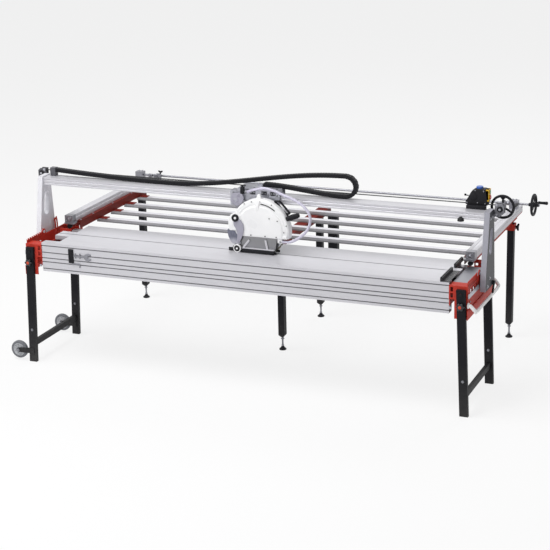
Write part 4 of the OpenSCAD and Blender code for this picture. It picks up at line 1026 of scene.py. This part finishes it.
class TILESAW_OT_head(bpy.types.Operator):
    """Makes the motor, the blade, the ring knob, the grip, the roller, the shoe and the splash flap of the
    head"""

    bl_idname = "tilesaw.head"
    bl_label = "Saw head"

    def execute(self, context):
        hub = middle("saw_blade")
        self.motor(hub[0], hub[2])
        self.blade(hub)
        self.knob()
        self.grip(hub)
        self.roller()
        self.shoe(hub)
        self.splash_guard(hub)
        return {"FINISHED"}

    def motor(self, cx, cz):
        """Motor casing about the blade's axis, with cooling fins, a terminal box and a grille on its end."""
        low, high = spot("motor")
        y0, y1 = low[1], high[1]
        deep = y1 - y0
        body = [[0, 0], [54, 0], [60, 3], [62, 8], [62, deep - 46], [58, deep - 40], [58, deep - 34],
                [61, deep - 32], [61, deep - 12], [56, deep - 3], [44, deep], [0, deep]]
        motor = Shell().lathe(body, (cx, y0, cz), "y", 64)
        fin = rounded([[61, -1.4], [67.5, -1.0], [67.5, 1.0], [61, 1.4]], 0.8, 2)
        for w in np.radians(118 + 14.0 * np.arange(22)):
            c, s = math.cos(w), math.sin(w)
            turned = np.stack([cx + fin[:, 0] * c - fin[:, 1] * s, cz + fin[:, 0] * s + fin[:, 1] * c], 1)
            motor.prism(turned, "y", y0 + 16, y1 - 50, 0.6)
        motor.block((cx - 34, y0 + 40, cz + 52), (cx + 34, y0 + 118, cz + 66), 4)
        make("motor_casing", motor, "motor_grey", "head", "motor")
        grille = Shell()
        for r in (16, 26, 36, 46):
            bar = [[r - 1.6, 0], [r + 1.6, 0], [r + 1.6, 1.6], [r - 1.6, 1.6]]
            grille.lathe(bar, (cx, y1 - 0.6, cz), "y", 40, closed=True)
        crown = ((-50, 0), (50, 0), (0, 50), (0, -50))
        grille.sockets([(cx + x, y1 - 6, cz + z) for x, z in crown], "y", 3.6, 5)
        grille.sockets([(cx + x, y0 + y, cz + 66) for x in (-26, 26) for y in (50, 108)], "z", 3.2, 2.4)
        make("motor_grille", grille, "black_plastic", "head")

    def blade(self, hub):
        """Disc with 24 segments: the rim is cut in between them, and thicker than the disc."""
        low, high = spot("saw_blade")
        thick, radius = high[1] - low[1], (high[0] - low[0]) / 2
        steps = 24 * 12
        a = np.linspace(0, 2 * np.pi, steps, endpoint=False)
        notch = np.abs((np.arange(steps) % 12) / 12 - 0.5) < 0.05
        r = np.array([11.2, 30, 60, 110, 150, 162, 165, radius])[:, None] + 0 * a
        r[5:] -= notch * np.array([4, 7, 13])[:, None]
        half = np.array([thick / 2 * 0.86] * 6 + [thick / 2] * 2)[:, None] + 0 * a
        x, z = hub[0] + r * np.cos(a), hub[2] + r * np.sin(a)
        front, back = (np.stack([x, hub[1] + side * half, z], -1) for side in (-1, 1))
        disc = Shell().grid(np.concatenate([front, back[::-1]]), wrap_u=True, wrap_v=True)
        make("diamond_blade", disc, "blade", "blade", "saw_blade", sharp=30)

    def knob(self):
        """Ring knob of the guard with its cap."""
        x, _, z = middle("guard_knob")
        at = (x, spot("guard_knob")[0][1], z)
        profile = [[10, 4], [12, 1], [20, 0], [24, 3], [25, 9], [24, 18], [20, 20], [0, 20], [0, 7], [9, 7]]
        make("guard_knob_ring", Shell().lathe(profile, at, "y", 40), "black_plastic", "head", "guard_knob")
        cap = Shell().lathe([[0, 3], [6, 3], [9, 5], [9.6, 8], [0, 8]], at, "y", 28)
        make("guard_knob_cap", cap, "white_shell", "head")

    def grip(self, hub):
        """Rubber grip: it swells in the middle, has 11 rings, and both its ends are round."""
        y = middle("head_grip")[1]
        start, end = np.array([hub[0] + 182, y, hub[2] + 84]), np.array([hub[0] + 276, y, hub[2] + 120])
        t = np.linspace(0, 1, 60)
        rings = np.cos(t * 2 * np.pi * 11) * (t > 0.15) * (t < 0.85)
        swell = 14.5 + 4.0 * np.sin(np.pi * np.clip(t * 1.05, 0, 1)) + 1.0 * rings
        ends = np.sqrt(np.clip(1 - np.clip((np.abs(t - 0.5) - 0.42) / 0.08, 0, 1) ** 2, 0.0, 1))
        grip = Shell().tube(start + (end - start) * t[:, None], np.maximum(swell * ends, 0.5), 24)
        make("grip_rubber", grip, "black_plastic", "head", "head_grip", sharp=60)

    def roller(self):
        """White tyre on a black hub, and the cap of the axle on the shoe."""
        low, high = spot("shoe_roller")
        x, _, z = middle("shoe_roller")
        at, w = (x, low[1], z), high[1] - low[1]
        tyre = both_faces([[20.5, 1], [24.5, 0], [26.4, 0.8], [27, 3]], w)
        hub = [[7, 0.2], [8.5, -1.6], [17, -1.6], [20.4, 0.4], [20.4, w - 0.4], [17, w], [5.1, w], [5.1, 0.2]]
        axle = [[0, -3.6], [5.4, -3.4], [6.8, -1.5], [6.8, 1], [0, 1]]
        tyre = Shell().lathe(tyre, at, "y", 44, closed=True)
        make("roller_tyre", tyre, "white_shell", "roller", "shoe_roller")
        make("roller_hub", Shell().lathe(hub, at, "y", 36, closed=True), "black_plastic", "roller")
        make("roller_axle_cap", Shell().lathe(axle, at, "y", 24), "white_shell", "shoe")

    def shoe(self, hub):
        """Guide bars, the light wear strips on them, the sheet skirts and the struts between bar and
        skirt."""
        low, high = spot("base_shoe")
        x, front, z = hub[0], hub[1] - 34.0, low[2]
        bars = Shell()
        bars.block((x - 124, front - 13, z), (x + 102, front + 7.5, z + 27), 2, "x")
        bars.block((low[0], front, z), (x - 124, front + 7.5, z + 16), 1.5, "x")
        bars.block((x + 100, front, z), (high[0], front + 7.5, z + 16), 1.5, "x")
        bars.block((low[0], hub[1] + 25.7, z), (high[0], hub[1] + 33.2, z + 16), 1.5, "x")
        bars.block((low[0] - 4, front - 3, z + 2), (low[0] + 28, front + 8, z + 24), 3, "x")
        make("shoe_bars", bars, "black_plastic", "shoe", "base_shoe")
        light = Shell().block((x - 122, front - 12.4, z + 27), (x + 101, front + 5, z + 31), 1, "x")
        for x0, z0, x1, z1 in ((-118, 30, -74, 84), (52, 30, 40, 92)):
            start, end = np.array([[x + x0, front - 2, z + z0], [x + x1, front - 2, z + z1]])
            light.tube(start + (end - start) * np.linspace(0, 1, 5)[:, None], 7, 4, flat=0.3)
        make("shoe_wear_strip", light, "aluminium", "shoe")
        top, notch = high[2] - 1 - z, hub[2] - 62 - z
        front_side = [[-183, 14], [102, 14], [112, 60], [120, top], [-183, top]]
        back_side = [[-183, 14], [102, 14], [102, top], [40, top], [36, notch], [-36, notch], [-40, top],
                     [-183, top]]
        skirt = Shell()
        for y, side in ((hub[1] - 29.2, front_side), (hub[1] + 27.0, back_side)):
            skirt.prism(rounded(side, 4, 3) + [x, z], "y", y, y + 2.6, 0.6)
        make("shoe_skirt", skirt, "sheet", "shoe")

    def splash_guard(self, hub):
        """Smoked flap round the front of the guard, curved further in towards its foot, and its cheek."""
        u, v = np.meshgrid(np.linspace(0, 1, 16), np.linspace(0, 1, 12), indexing="ij")
        flap = np.stack([hub[0] - 226 + 34 * u**2.5, hub[1] - 37 + 68 * v, hub[2] - 14 - 92 * u], -1)
        thicken(make("splash_flap", Shell().grid(flap), "smoke", "head"), 0.003, 0)
        cheek = Shell().prism(rounded(CHEEK, 8, 5) + hub[[0, 2]], "y", hub[1] - 38.5, hub[1] - 35.5, 1)
        make("splash_cheek", cheek, "smoke", "head")


# ---- knobs, handwheels and wheels ------------------------------------------------------------


class TILESAW_OT_knobs(bpy.types.Operator):
    """Makes the lobed knobs of the legs with their caps, and the wing knob of the rear leg"""

    bl_idname = "tilesaw.knobs"
    bl_label = "Knobs"

    def execute(self, context):
        for side in ("left", "right"):
            self.star(side, context.scene.tile_saw_sizes.knob_lobes)
        low = spot("wing_knob")[0]
        _, y, z = middle("wing_knob")
        wing = Shell()
        t = np.linspace(-1, 1, 41)
        way = np.stack([low[0] + 22 + 8 * t**2, y + 8 * t, z + 23 * t], 1)
        wing.tube(way, 9.5 - 3.5 * t**2 - 2 * np.abs(t) ** 9, 16, ref=(1, 0, 0))
        wing.lathe([[0, 12], [9, 12], [10, 14], [10, 26], [8, 29], [0, 29]], (low[0], y, z), "x", 28)
        wing.lathe([[0, 0], [5, 0], [5, 13], [0, 13]], (low[0], y, z), "x", 16)
        make("wing_knob_body", wing, "black_plastic", "wing_knob", "wing_knob", sharp=50)
        return {"FINISHED"}

    def star(self, side, lobes):
        """Knob whose rings swell from the cap to the lobes' full depth and shrink to its neck, with stem
        and cap."""
        node = side + "_star_knob"
        low, high = spot(node)
        x, _, z = middle(node)
        y = low[1]
        rings = []
        for scale, depth, way in (
            (0.72, 0.0, 0), (0.88, 1.0, 0.6), (0.97, 3.2, 2.5), (1.0, 4.2, 5), (1.0, 4.2, 13),
            (0.95, 3.6, 16), (0.7, 1.0, 18), (0.55, 0, 21), (0.5, 0, 24.5),
        ):
            rings.append(np.insert(circle(22.5 * scale, 72, (x, z), lobes, depth), 1, y + way, axis=1))
        body = Shell().grid(np.stack(rings), wrap_v=True, caps=True)
        stem = high[1] - y - 26
        body.lathe([[0, 0], [5, 0], [5, stem], [0, stem]], (x, y + 24, z), "y", 16)
        make(side + "_knob_body", body, "knob", node, node, sharp=50)
        cap = [[0, -2.6], [7, -2.2], [10.5, -0.6], [11, 1.5], [0, 1.5]]
        make(side + "_knob_cap", Shell().lathe(cap, (x, y + 0.2, z), "y", 28), "orange", node)


def handwheel(centre, axis, radius=79.0, rim=9.0):
    """Handwheel about an axis: a round rim with a grip groove, three tapered spokes that bow outwards, and
    the hub."""
    i, j, k = AXES[axis]
    shell = Shell()
    rr = radius - rim
    q = np.linspace(0, 2 * np.pi, 16, endpoint=False)
    section = np.stack([rr + rim * np.cos(q) * (1 - 0.06 * np.cos(2 * q)), rim * np.sin(q)], 1)
    shell.lathe(section, centre, axis, 72, closed=True)
    hub = [[8.1, -12], [15, -12], [17, -10], [17, 8], [14, 12], [10, 13], [8.1, 13]]
    shell.lathe(hub, centre, axis, 36, closed=True)
    t = np.linspace(0, 1, 10)
    out = 14 + (rr - 16) * t
    for w in np.radians([90, 210, 330]):
        path = np.zeros((10, 3))
        path[:, i], path[:, j] = centre[i] + out * math.cos(w), centre[j] + out * math.sin(w)
        path[:, k] = centre[k] + 3 * np.sin(np.pi * t)
        shell.tube(path, 8.5 - 2.5 * t, 12, ref=np.eye(3)[k], flat=0.55)
    return shell


class TILESAW_OT_handwheels(bpy.types.Operator):
    """Makes both handwheels with their turned handles"""

    bl_idname = "tilesaw.handwheels"
    bl_label = "Handwheels"

    def execute(self, context):
        grip = [[0, 0], [5, 0], [5, 6], [9.5, 7], [10.5, 12], [9.4, 30], [10.4, 52], [12, 66], [11, 72],
                [7, 75], [0, 75]]
        crank = 68.0
        _, y, z = middle("rear_shaft")
        x = spot("rear_handwheel")[0][0] - 8.0
        wheel = handwheel((x, y, z), "x")
        wheel.lathe([[8.1, 12], [13, 12], [12, 36], [0, 36], [0, 34], [8.1, 34]], (x, y, z), "x", 32)
        wheel.lathe([[8.2, -34], [12, -34], [15, -11], [8.2, -11]], (x, y, z), "x", 32, closed=True)
        wheel.lathe(grip, (x + 8.0, y + crank, z), "x", 28)
        make("rear_wheel_and_handle", wheel, "black_plastic", "rear_drive", "rear_handwheel", sharp=50)
        make("rear_wheel_nut", Shell().hexagon((x + 35.5, y, z), "x", 8, 7), "zinc", "rear_drive")
        x, _, z = middle("drive_shaft")
        y = spot("front_handwheel")[0][1] + 15.0
        wheel = handwheel((x, y, z), "y")
        wheel.lathe(grip, (x + crank, y + 6.0, z), "y", 28)
        make("front_wheel_and_handle", wheel, "black_plastic", "drive", "front_handwheel", sharp=50)
        make("front_wheel_nut", Shell().hexagon((x, y + 12, z), "y", 8, 7), "zinc", "drive")
        return {"FINISHED"}


class TILESAW_OT_wheels(bpy.types.Operator):
    """Makes the two transport wheels: tyre, dished rim with ribs and hub"""

    bl_idname = "tilesaw.wheels"
    bl_label = "Transport wheels"

    def execute(self, context):
        for side in ("front", "rear"):
            node = side + "_wheel"
            low, high = spot(node)
            x, _, z = middle(node)
            r, w, y = (high[0] - low[0]) / 2, high[1] - low[1], low[1]
            tread = [[r - 17, 2], [r - 8, 0.8], [r - 3, 2.5], [r - 0.4, 7], [r, w / 2]]
            tread += [[r - 0.4, w - 7], [r - 3, w - 2.5], [r - 8, w - 0.8], [r - 17, w - 2]]
            tyre = Shell().lathe(tread, (x, y, z), "y", 64, closed=True)
            make(side + "_tyre", tyre, "tyre", node, node, sharp=50)
            dish = both_faces([[6.2, 0], [13, 0], [14.5, 2], [15.5, 7], [34, 9], [41, 4], [r - 16.5, 3]], w)
            rim = Shell().lathe(dish, (x, y, z), "y", 56, closed=True)
            out = np.linspace(15, 40, 6)
            for a in np.radians(np.arange(8) * 45 + 12):
                for rib_y in (y + 6.5, y + w - 6.5):
                    line = np.stack([x + out * math.cos(a), np.full(6, rib_y), z + out * math.sin(a)], 1)
                    rim.tube(line, 2.6, 8)
            make(side + "_rim", rim, "wheel_rim", node)
        return {"FINISHED"}


class TILESAW_OT_feet(bpy.types.Operator):
    """Makes the four screw feet: dished cup, nut and threaded stud"""

    bl_idname = "tilesaw.feet"
    bl_label = "Screw feet"

    def execute(self, context):
        cup = [[0, 0], [24, 0], [26, 2], [26, 5], [23, 9], [15, 15], [12, 21], [10, 25], [0, 25]]
        for node in ("left_foot", "middle_foot", "right_foot", "front_foot"):
            x, y, _ = middle(node)
            top = spot(node)[1][2] - 1
            make(node + "_cup", Shell().lathe(cup, (x, y, 0), "z", 36), "black_plastic", node, node)
            z = np.arange(24.0, top, 0.8)
            thread = np.stack([6.0 + 0.5 * np.cos(2 * np.pi * z / 2.4), z], 1)
            stud = Shell().lathe(np.concatenate([[[0, 24]], thread, [[0, top]]]), (x, y, 0), "z", 16)
            stud.hexagon((x, y, 28), "z", 10, 9, washer=0)
            stud.hexagon((x, y, 80), "z", 10, 9, washer=1.3)
            make(node + "_stud", stud, "zinc", node)
        return {"FINISHED"}


# ---- control box ----------------------------------------------------------------------------

BOX_DEPTH = 60
BOX_OUTLINE = [[0, 0], [140, 0], [140, 26], [128, 104], [58, 104], [36, 86], [10, 36], [0, 24]]


class TILESAW_OT_controls(bpy.types.Operator):
    """Makes the control box, its switch plate and buttons, and the inlet with its lid"""

    bl_idname = "tilesaw.controls"
    bl_label = "Control box"

    def execute(self, context):
        self.housing()
        self.switches()
        low = spot("power_inlet")[0]
        x, y, _ = middle("power_inlet")
        z = low[2]
        lid = [[0, 0], [22, 0], [22, 5], [20, 6], [20, 8], [22, 9], [21, 12], [0, 12]]
        inlet = Shell().lathe(lid, (x, y, z), "z", 44)
        inlet.block((x - 9, y - 22, z + 1), (x + 9, y - 15, z + 11.5), 2)
        make("inlet_lid", inlet, "blue", "bridge", "power_inlet")
        return {"FINISHED"}

    def housing(self):
        """Moulded box on its foot plate, with a round boss, a cable ear, a seam and its screws."""
        low, high = spot("control_box")
        x, z, y1 = low[0], spot("power_inlet")[0][2] - 104, high[1]
        y0 = y1 - BOX_DEPTH
        outline = rounded(np.array(BOX_OUTLINE) + [x, z], [4, 4, 6, 8, 16, 14, 10, 6], 5)
        box = Shell().prism(outline, "y", y0, y1, 5)
        box.block((x + 12, low[1], low[2]), (x + 136, y0 + 5, z + 3), 2)
        box.lathe([[0, 4], [20, 4], [24, 2.6], [25, -1], [0, -1]], (x + 50, y0, z + 54), "y", 36, sign=-1)
        box.block((x - 2, y0 + 8, z + 54), (x + 18, y0 + 14, z + 60), 2)
        box.lathe([[0, 7], [5, 6], [7, 3], [7, -3], [5, -6], [0, -7]], (x - 4, y0 + 11, z + 60), "z", 20)
        box.prism(inset(outline, -1.2), "y", y0 + 20, y0 + 22.5, 1.0)
        make("control_housing", box, "black_plastic", "bridge", "control_box", sharp=40)
        screws = Shell()
        places = ((10, 14), (78, 16), (126, 12), (116, 92), (62, 94))
        screws.sockets([(x + dx, y0, z + dz) for dx, dz in places], "y", 4, 2.2, sign=-1)
        make("control_screws", screws, "zinc", "bridge")

    def switches(self):
        """Rim of the yellow plate with a collar round each button, and the buttons' caps."""
        low, high = spot("switch_plate")
        outer = high[0]
        plate = Shell()
        buttons = {}
        for node in ("start_button", "stop_button"):
            at, size = middle(node), np.ptp(spot(node), axis=0)
            r = buttons[node] = size[1] / 2
            collar = [[r + 0.5, 2.6], [r + 3.4, 2.6], [r + 3.8, -1.0], [r + 0.5, -1.0]]
            plate.lathe(collar, (outer, at[1], at[2]), "x", 36, closed=True)
        face = rounded([low[1:], [high[1], low[2]], high[1:], [low[1], high[2]]], 7, 6)
        edge = ((low[0], 0.0), (outer - 2, 0.0), (outer - 0.5, 0.7), (outer + 0.2, 2.2))
        plate.grid(np.stack([np.insert(inset(face, drawn), 0, x, axis=1) for x, drawn in edge]), wrap_v=True)
        make("switch_frame", plate, "yellow", "bridge")
        for (node, r), finish in zip(buttons.items(), ("green", "red_plastic")):
            low, high = spot(node)
            top = high[0] - low[0]
            cap = [[0, 0], [r, 0], [r, top - 2], [r - 2, top - 0.4], [r - 5, top - 0.8], [0, top - 1.4]]
            make(node + "_cap", Shell().lathe(cap, (low[0], *middle(node)[1:]), "x", 36), finish, node, node)


# ---- screws and small trim ------------------------------------------------------------------

SPANNER_JAW = [[98, -4], [112, -18], [134, -22], [152, -14], [148, -5], [128, -4], [128, 14], [148, 16],
               [150, 24], [132, 32], [110, 26], [98, 14]]
KEY = [[20, -44], [58, -44], [58, -64], [66, -64], [66, -34], [20, -34]]
TOOLS_AT = (-1204, 772)  # X and Z of the clip for the spanner and the key
STOP_KNOB_WING = 17


class TILESAW_OT_screws(bpy.types.Operator):
    """Sets the screws of the legs, end frames, uprights, rails and carriage"""

    bl_idname = "tilesaw.screws"
    bl_label = "Screws"

    def execute(self, context):
        base, bridge, carriage, rings = Shell(), Shell(), Shell(), Shell()
        px, py, pz = PULLEY_AT
        for side in (-1, 1):
            base.hexagon((side * 1440, 12, 700), "y", 6, 6, sign=-1)
            base.hexagon((side * 1440, 592, 700), "y", 6, 6)
            base.hexagons([(side * 1400, y, 890) for y in (520, 700, 1000, 1300, 1600)], "z", 5, 4)
            base.hexagons([(side * RAIL_X + x, 1560, 998) for x in (-12, 12)], "z", 5.5, 6)
            for x, z in ((-18, -14), (18, 14)):
                base.socket((side * RAIL_X + x, 430, RAIL_Z + z), "y", 4, 4, sign=-1)
            upright = ((330, 812), (280, 770), (330, 1195), (380, 1195))
            bridge.hexagons([(side * 1600, y, z) for y, z in upright], "x", 7, 6, sign=side)
            bridge.hexagons([(side * 1612, py, pz + z) for z in (-34, 26)], "y", 5.5, 5, sign=-1)
            bolt = [[0, 12], [7, 12], [8, 10], [8, 3], [0, 3]]
            bridge.lathe(bolt, (side * px, py, pz), "y", 32, sign=-1)
            ring = [[8, 0], [8, 7], [13, 7], [18, 4], [19, 0]]
            rings.lathe(ring, (side * px, py, pz), "y", 36, closed=True, sign=-1)
        face = [(x, 312, z) for x in (-128, 60, 120, 180) for z in (1164, 1236)]
        carriage.hexagons(face, "y", 5.5, 5, sign=-1)
        step_z = spot("carriage")[1][2] - 16
        top = [(-60, 340, step_z), (10, 340, step_z), (110, 340, 1271), (170, 340, 1271)]
        carriage.hexagons(top, "z", 5, 4)
        make("frame_screws", base, "bright_zinc", "base")
        make("bridge_screws", bridge, "bright_zinc", "bridge")
        make("bearing_rings", rings, "black_plastic", "bridge")
        make("carriage_screws", carriage, "zinc", "carriage")
        leg_x = LEG_FOOT_X - LEG_LEAN * LEG_BAR_Z
        for name, side in (("left", -1), ("right", 1)):
            legs = Shell()
            legs.hexagons([(side * leg_x, y, LEG_BAR_Z) for y in (-12, 592)], "y", 6, 6, sign=-1)
            make(name + "_leg_screws", legs, "zinc", name + "_legs")
        wheels = Shell()
        wheels.hexagons([(-1650, -21, 75), (-1650, 583, 75)], "y", 9, 6, sign=-1, washer=1.3)
        make("axle_bolts", wheels, "zinc", "left_legs")
        return {"FINISHED"}


class TILESAW_OT_trim(bpy.types.Operator):
    """Makes the small trim: tools on the front beam, rail covers and stops, end skirts, handle and water
    valve"""

    bl_idname = "tilesaw.trim"
    bl_label = "Trim"

    def execute(self, context):
        self.tools()
        self.rails()
        self.ends()
        self.handle()
        self.carriage()
        return {"FINISHED"}

    def tools(self):
        """Clip on the front beam with a spanner and a key in it."""
        y = spot("front_beam")[0][1]
        x, z = TOOLS_AT
        clip = Shell().block((x - 20, y - 9, z - 36), (x + 18, y, z + 62), 4, "y")
        clip.block((x - 14, y - 13, z + 38), (x + 12, y - 8, z + 56), 2, "y")
        clip.block((x - 12, y - 12, z - 24), (x, y - 8, z + 8), 2, "y")
        make("tool_clip", clip, "black_plastic", "base")
        spanner = Shell().prism(rounded(SPANNER_JAW, 4, 4) + [x, z + 10], "y", y - 7, y - 0.8, 1)
        shank = rounded([[16, 0], [102, -2], [102, 14], [16, 12]], 3)
        spanner.prism(shank + [x, z + 10], "y", y - 6, y - 1.2, 1)
        for dx in (30, 64):
            spanner.block((x + dx, y - 8, z), (x + dx + 7, y - 1, z + 36), 1.5)
        make("blade_spanner", spanner, "zinc", "base")
        key = Shell().prism(rounded(KEY, 3) + [x, z], "y", y - 6, y - 0.6, 1)
        key.prism(circle(9, 20, (x + 12, z - 40)), "y", y - 6, y - 0.6, 1)
        make("blade_key", key, "zinc", "base")

    def rails(self):
        """Cover strips in the rails' grooves, the stops with their knobs on the rear shaft, and the rubber
        bumper."""
        low, high = spot("side_rails")
        strips, stops, knobs = Shell(), Shell(), Shell()
        for side in (-1, 1):
            a, b = side * RAIL_X - 7.5, side * RAIL_X + 7.5
            strips.block((a, low[1] + 4, high[2] - 3.6), (b, high[1] - 4, high[2] - 0.4), 0.6, "y")
        make("rail_covers", strips, "aluminium_y", "base")
        _, y, z = middle("rear_shaft")
        foot_z = high[2] - 14
        t = np.linspace(-1, 1, 31)
        for x, out in ((-1270, -1), (1372, 1)):
            stop_x, knob_x = x + out * 8, x - out * 2
            stops.block((stop_x - 14, y - 22, foot_z), (stop_x + 14, y - 8.6, z + 18), 2)
            stops.hexagons([(stop_x, y - 20, z + 18), (stop_x, y - 8, z + 18)], "z", 4.5, 4)
            ring = [[8.6, -9], [15, -9], [16.5, -7], [16.5, 7], [15, 9], [8.6, 9]]
            stops.lathe(ring, (x + out * 32, y, z), "x", 32, closed=True)
            stem = [[0, 0], [4, 0], [4, 8], [8, 12], [8, 20], [0, 21]]
            knobs.lathe(stem, (knob_x, y - 15, z + 18), "z", 20)
            way = np.stack([knob_x + STOP_KNOB_WING * t, np.full(31, y - 15), z + 34 + 9 * t**2], 1)
            knobs.tube(way, 7.5 - 2.5 * t**2 - 2 * np.abs(t) ** 9, 14)
        for x in (-1352, -1312):
            stops.block((x - 15, y - 24, foot_z), (x + 15, y - 8.6, z + 14), 2)
            stops.hexagon((x, y - 24, z + 2), "y", 5, 4, sign=-1)
        make("rear_stops", stops, "zinc", "base")
        make("rear_stop_knobs", knobs, "black_plastic", "base")
        beam = spot("bridge_beam")[0]
        bumper = [[0, 14], [6, 13.4], [13, 9], [19, 3], [21, -6], [21, -13], [0, -13]]
        bumper = Shell().lathe(bumper, (1412, beam[1] - 2, beam[2] + 2), "z", 32)
        make("bridge_stop", bumper, "rubber", "bridge")

    def ends(self):
        """Lower skirts, raised slotted edges, guide bars and black blocks painted as the shade in the end
        frames' holes, and the rails' end bolts."""
        low, high = spot("right_end_frame")
        end_x = high[0] - 5
        deck = spot("cross_fence")[0][2] - 15
        edge = [[24, -2], [236, -2], [236, 30]]
        for y in range(222, 30, -26):
            edge += [[y, 30], [y - 4, 20], [y - 12, 20], [y - 16, 30]]
        edge = rounded(edge + [[24, 16]], 1.5, 3) + [0, deck - 2]
        red, dark, bright = Shell(), Shell(), Shell()
        for side in (-1, 1):
            a, b = on_side(side, end_x + 0.2, end_x + 4.2)
            red.block((a, low[1] + 13, low[2]), (b, 596, low[2] + 62), 1, "x")
            red.prism(edge, "x", *on_side(side, end_x - 6, end_x - 2), 0.6)
            a, b = on_side(side, end_x + 1, end_x + 9)
            bright.block((a, 12, deck - 78), (b, 236, deck - 50), 2, "x")
            bright.hexagon((side * RAIL_X, 436, RAIL_Z), "y", 9, 9, sign=-1, washer=1.5)
            a, b = on_side(side, end_x - 2.4, end_x + 0.5)
            # painted shade: black blocks stand for the shade inside the end frames' holes
            for y in range(44, 207, 27):
                dark.block((a, y, deck - 16), (b, y + 11, deck - 6), 1, "x")
                dark.block((a, y + 6, deck - 34), (b, y + 14, deck - 26), 1, "x")
            foot = [[0, 0], [15, 0], [17, 3], [17, 22], [15, 25], [0, 25]]
            dark.lathe(foot, (side * RAIL_X, 455, 862.4), "y", 32, sign=-1)
        make("end_skirts", red, "red_paint", "base")
        # one object of the black blocks of painted shade and the rails' black feet
        make("end_hole_shade_and_rail_feet", dark, "black_plastic", "base")
        make("end_guides", bright, "bright_zinc", "base")

    def handle(self):
        """White carrying handle on the right end: two bent arms and a straight grip, 23 mm thick."""
        low, high = spot("transport_handle")
        x, z = high[0] - 22, low[2] - 2
        y0, y1, top = low[1] + 2, high[1] - 2, high[2] - 12
        arm = [[low[0] + 2, y0, top], [low[0] + 16, y0, top - 1], [x, y0 + 5, z + 28], [x, y0 + 22, z + 15],
               [x, y0 + 50, z + 12], [x, y0 + 120, z + 12]]
        path = np.array(arm + [[a, y0 + y1 - b, c] for a, b, c in arm[::-1]])
        handle = Shell().tube(smooth_path(path, 120), 11.5, 20, ref=(0.3, 0.2, 1))
        for y in (y0, y1):
            handle.lathe([[0, 7], [17, 7], [19, 5], [19, 0], [0, 0]], (low[0], y, top), "x", 32)
        make("carry_handle", handle, "white_tube", "base", "transport_handle", sharp=60)

    def carriage(self):
        """Water valve at the hose's start, and the clamp plates on the carriage's top."""
        valve = Shell().block((-60, 268, 1242), (-36, 294, 1288), 3)
        valve.lathe([[0, 10], [6, 10], [7, 8], [7, 0], [0, 0]], (-48, 281, 1288), "z", 20)
        valve.block((-58, 272, 1296), (-24, 290, 1301), 1.5)
        make("water_valve", valve, "black_plastic", "carriage")
        clamps = Shell()
        for x in (-10, 70, 132):
            clamps.block((x, 312, 1232), (x + 42, 322, 1262), 2, "y")
            clamps.sockets([(x + 12, 312, 1247), (x + 30, 312, 1247)], "y", 5, 4, sign=-1)
        make("carriage_clamps", clamps, "bright_zinc", "carriage")


# ---- panel and running order ----------------------------------------------------------------

STEPS = (
    ("finishes", TILESAW_OT_finishes), ("stage", TILESAW_OT_stage), ("hose", TILESAW_OT_hose),
    ("chain", TILESAW_OT_chain), ("guard", TILESAW_OT_guard), ("head", TILESAW_OT_head),
    ("knobs", TILESAW_OT_knobs), ("handwheels", TILESAW_OT_handwheels), ("wheels", TILESAW_OT_wheels),
    ("feet", TILESAW_OT_feet), ("controls", TILESAW_OT_controls), ("screws", TILESAW_OT_screws),
    ("trim", TILESAW_OT_trim),
)


class TILESAW_PT_panel(bpy.types.Panel):
    """Sidebar panel with the settings and a button for each step"""

    bl_idname = "TILESAW_PT_panel"
    bl_label = "Tile saw"
    bl_space_type = "VIEW_3D"
    bl_region_type = "UI"
    bl_category = "Tile saw"

    def draw(self, context):
        for group in (context.scene.tile_saw_look, context.scene.tile_saw_sizes):
            for key in group.bl_rna.properties.keys():
                if key not in ("rna_type", "name"):
                    self.layout.prop(group, key)
        for _, operator in STEPS:
            self.layout.operator(operator.bl_idname)


CLASSES = (TileSawLook, TileSawSizes, *(operator for _, operator in STEPS), TILESAW_PT_panel)


def register():
    """Adds the operators, the panel and the two groups of settings to Blender."""
    for cls in CLASSES:
        bpy.utils.register_class(cls)
    bpy.types.Scene.tile_saw_look = PointerProperty(type=TileSawLook)
    bpy.types.Scene.tile_saw_sizes = PointerProperty(type=TileSawSizes)


def unregister():
    """Takes them out again."""
    del bpy.types.Scene.tile_saw_look
    del bpy.types.Scene.tile_saw_sizes
    for cls in reversed(CLASSES):
        bpy.utils.unregister_class(cls)


def main():
    """Runs every step."""
    register()
    for step, _ in STEPS:
        getattr(bpy.ops.tilesaw, step)()


if __name__ == "__main__":
    main()
